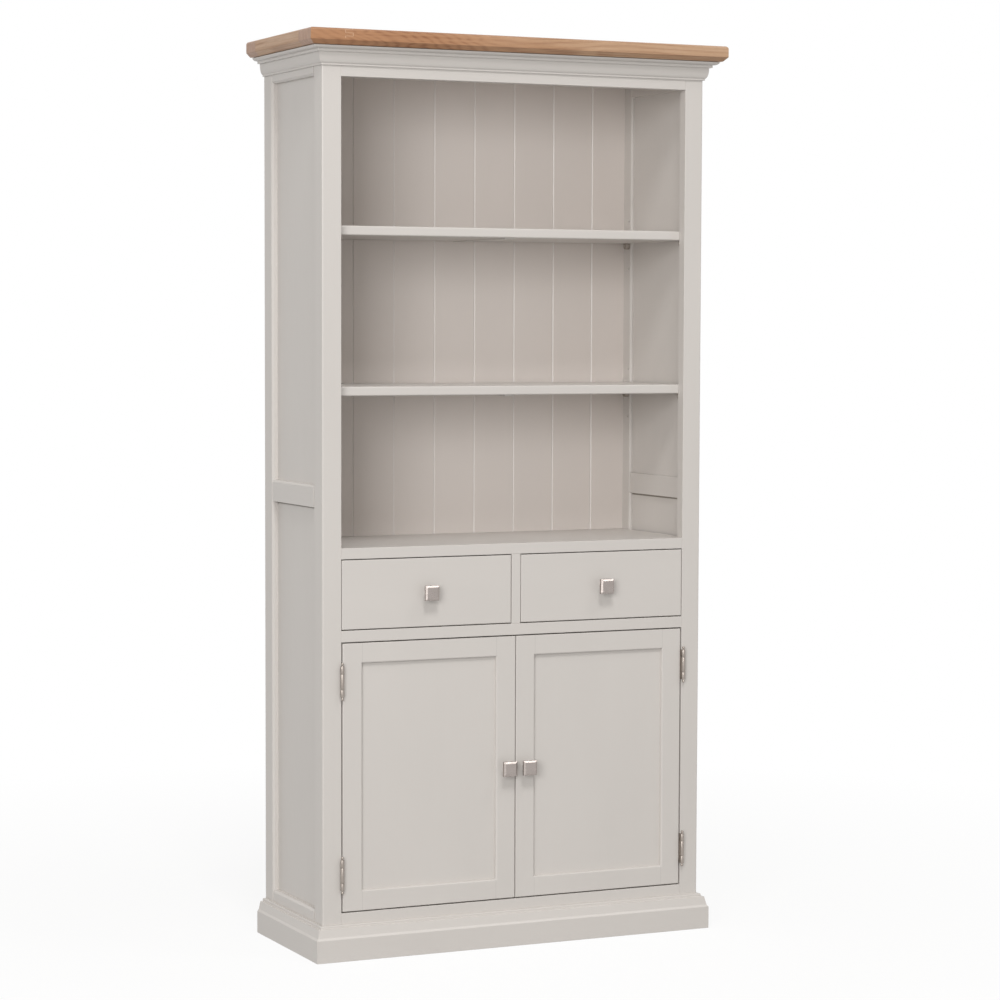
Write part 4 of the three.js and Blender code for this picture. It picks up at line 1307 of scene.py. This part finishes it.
# The leaves and knuckles of a hinge, turned about the hinge axis, and two ball finials. The frame
# leaf carries the end knuckles and the door leaf the middle one.
def hinge(level, side):
    hand, look = hands[side], hingeLook
    name = "hinge_" + level + "_" + side
    low, high = span(name + "_frame_leaf")
    radius, ball, bore, neck = look["barrel"], look["ball"], look["bore"], look["neck"]
    axisX = high[0] - radius if hand > 0 else low[0] + radius
    axis = np.array([axisX, low[1] + radius, (low[2] + high[2]) / 2])
    middle = look["middle"] / 2
    ballEnd = (high[2] - low[2]) / 2
    half = ballEnd - 2 * ball - look["neckLength"]
    foot = middle + look["gap"]
    start, stop, count = look["ballTurns"]
    turn = np.radians(np.linspace(start, stop, count))
    endKnuckle = joined(
        [[bore, foot]], knuckleRim(foot, 1), knuckleRim(half, -1)[::-1],
        [[neck, half + look["neckFoot"]], [neck, half + look["neckLength"]]],
        columns(ball * np.sin(turn), ballEnd - ball - ball * np.cos(turn)),
    )
    middleKnuckle = joined(
        [[bore, -middle]], knuckleRim(-middle, 1), knuckleRim(middle, -1)[::-1], [[bore, middle]],
    )
    bodies = {"frame": "carcase", "door": "door_" + side}
    for which, profile, leaf in (
        ("top", endKnuckle, "frame"),
        ("foot", endKnuckle * [1, -1], "frame"),
        ("middle", middleKnuckle, "door"),
    ):
        reaches, levels = profile.T
        part = ringed(name + "_knuckle_" + which, axis, "z", levels, reaches, look["barrelSides"], satin)
        place(part, bodies[leaf], "nickel", name + "_" + leaf + "_leaf")
    stile, thickness, ease = hand * openingHalf, look["leaf"], look["leafEase"]
    front, back = axis[1] + look["sweep"], high[1]
    screwY = front + (back - front) * screwLook["placeShare"]
    tabs = {"frame": ((foot, half), (-half, -foot)), "door": ((-middle, middle),)}
    for order, leaf in enumerate(("frame", "door")):
        node = name + "_" + leaf + "_leaf"
        near = stile - hand * (look["play"] + order * (look["play"] + thickness))
        far = near - hand * thickness
        x0, x1 = sorted([near, far])
        parts = [board(node + "_plate", [x0, front, axis[2] - half], [x1, back, axis[2] + half], "z", satin,
                       ease=ease)]
        for index, (start, stop) in enumerate(tabs[leaf]):
            tabHigh = [x1, front + look["tabLap"], axis[2] + stop]
            parts.append(board(node + "_tab_" + str(index + 1), [x0, axis[1], axis[2] + start], tabHigh,
                               "z", satin, ease=ease))
        # The screws are seen from the side that looks away from the wood
        faceX, away = (far, -hand) if leaf == "frame" else (near, hand)
        for index, z in enumerate(screwLook["heights"]):
            parts += screwHead(node + "_screw_" + str(index + 1), [faceX, screwY, axis[2] + z], away)
        for part in parts:
            place(part, bodies[leaf], "nickel", node)


for level in ("lower", "upper"):
    for side in hands:
        hinge(level, side)
print("hinges made")

# Catch for the doors: a plastic body with two magnets in its face

catchLook = {
    "corner": 2.0,
    "magnet": (15.0, 9.0),
    "magnetX": 15.0,
    "magnetProud": 0.1,
    "magnetDepth": 4.0,
    "magnetEase": 0.1,
}

low, high = span("door_catch")
catchBody = board("catch_body", low, high, "x", plastic, ease=catchLook["corner"])
place(catchBody, "carcase", "catch", "door_catch")
middleZ = (low[2] + high[2]) / 2
for side, hand in hands.items():
    halfX, halfZ = np.array(catchLook["magnet"]) / 2
    x = hand * catchLook["magnetX"]
    magnet = board("catch_magnet_" + side, [x - halfX, low[1] - catchLook["magnetProud"], middleZ - halfZ],
                   [x + halfX, low[1] + catchLook["magnetDepth"], middleZ + halfZ], "x", magnetMetalAndRecessShade,
                   ease=catchLook["magnetEase"])
    place(magnet, "carcase", "catch", "door_catch")
print("catch made")

# The camera, as the photograph was taken

cameraLook = {
    "place": (-2.7279, -5.8685, 1.3391),  # metres
    "turn": 24.621,  # towards +X, from looking along +Y
    "drop": 3.858,  # below the horizon
    "roll": 0.155,
    "sensorWidth": 36,
    "focalLength": 106.25,
    "shift": (0.0287, 0.0249),
}


# The camera looks along (sin t cos d, cos t cos d, -sin d), where t is its turn and d its drop, and
# is rolled about that line.
def addCamera():
    turn, drop, roll = (math.radians(cameraLook[key]) for key in ("turn", "drop", "roll"))
    forward = np.array([math.sin(turn) * math.cos(drop), math.cos(turn) * math.cos(drop), -math.sin(drop)])
    level = np.array([math.cos(turn), -math.sin(turn), 0.0])
    upright = np.cross(level, forward)
    right = level * math.cos(roll) + upright * math.sin(roll)
    up = upright * math.cos(roll) - level * math.sin(roll)
    camera = linked("camera", bpy.data.cameras.new("camera"))
    camera.data.sensor_width = cameraLook["sensorWidth"]
    camera.data.lens = cameraLook["focalLength"]
    camera.data.shift_x, camera.data.shift_y = cameraLook["shift"]
    basis = Matrix(np.stack([right, up, -forward], axis=1).tolist()).to_4x4()
    camera.matrix_world = Matrix.Translation(cameraLook["place"]) @ basis
    bpy.context.scene.camera = camera


addCamera()

# Studio: a pale floor that shows white with a faint shadow, a soft sky and three soft lamps

studioLook = {
    "floor": 0.45,
    "floorReach": 30.0,  # metres
    "floorRoughness": 0.9,
    "floorGloss": 0.1,
    "floorWhite": 0.86,  # share of plain white that the camera sees in the floor near the bookcase
    "floorFade": (0.9, 2.6),  # metres from its middle, over which that share grows to one
    "sky": 0.42,
    "skyColour": (1.0, 0.97, 0.93),
    "aim": (0.0, 0.0, 1.0),  # metres; the middle of the bookcase
    "lamps": {  # turn towards -X from the front, height above level, metres away and wide, watts
        "main lamp": (40, 10, 8.0, 2.9, 264.0),
        "high lamp": (18, 48, 11.0, 2.5, 430.0),
        "knob lamp": (-44, 52, 8.0, 2.0, 60.0),
    },
}
white = (1, 1, 1, 1)


# One for rays from the camera and for rays that show the studio in metal or glass.
def seenRay(tree):
    rays = newNode(tree, "LightPath").outputs
    either = calc(tree, "MAXIMUM", rays["Is Camera Ray"], rays["Is Glossy Ray"])
    return calc(tree, "MAXIMUM", either, rays["Is Transmission Ray"])


# A floor that scatters light plainly. Seen from the camera it is a paler paper, mixed with plain
# white, and all white far from the bookcase.
def addFloor():
    look, reach = studioLook, studioLook["floorReach"]
    mesh = bpy.data.meshes.new("studio floor")
    corners = [(-reach, -reach, 0), (reach, -reach, 0), (reach, reach, 0), (-reach, reach, 0)]
    mesh.from_pydata(corners, [], [(0, 1, 2, 3)])
    material = bpy.data.materials.new("studio floor")
    material.use_nodes = True
    tree = material.node_tree
    shader = tree.nodes["Principled BSDF"]
    seen = seenRay(tree)
    grey = (look["floor"], look["floor"], look["floor"], 1)
    tree.links.new(blend(tree, seen, grey, white), shader.inputs["Base Color"])
    shader.inputs["Roughness"].default_value = look["floorRoughness"]
    shader.inputs["Specular IOR Level"].default_value = look["floorGloss"]
    place = newNode(tree, "TexCoord").outputs["Object"]
    distance = newNode(tree, "VectorMath", {0: place}, operation="LENGTH").outputs["Value"]
    share = remap(tree, distance, *look["floorFade"], look["floorWhite"], 1.0)
    plain = newNode(tree, "Emission", {"Color": white, "Strength": 1.0}).outputs[0]
    inputs = {0: times(tree, seen, share), 1: shader.outputs[0], 2: plain}
    mixed = newNode(tree, "MixShader", inputs).outputs[0]
    tree.links.new(mixed, tree.nodes["Material Output"].inputs[0])
    mesh.materials.append(material)
    linked("studio floor", mesh)


# An even sky, which the camera and clear reflections see as plain white.
def addSky():
    world = bpy.data.worlds.new("studio")
    world.use_nodes = True
    bpy.context.scene.world = world
    tree = world.node_tree
    seen = seenRay(tree)
    inputs = {0: seen, 2: studioLook["sky"], 3: 1.0}
    strength = newNode(tree, "Mix", inputs, data_type="FLOAT").outputs[0]
    background = tree.nodes["Background"]
    tree.links.new(blend(tree, seen, (*studioLook["skyColour"], 1), white), background.inputs["Color"])
    tree.links.new(strength, background.inputs["Strength"])


# A square lamp on a sphere about the middle of the bookcase, looking at that middle.
def addLamp(name, turn, rise, distance, size, power):
    lamp = bpy.data.lights.new(name, "AREA")
    lamp.shape, lamp.size, lamp.energy = "SQUARE", size, power
    holder = linked(name, lamp)
    holder.rotation_euler = math.radians(90 - rise), 0, -math.radians(turn)
    turn, rise = math.radians(turn), math.radians(rise)
    away = np.array([-math.sin(turn) * math.cos(rise), -math.cos(turn) * math.cos(rise), math.sin(rise)])
    holder.location = away * distance + studioLook["aim"]


addFloor()
addSky()
for name, settings in studioLook["lamps"].items():
    addLamp(name, *settings)
bpy.context.scene.view_settings.view_transform = "Standard"
print("studio made")
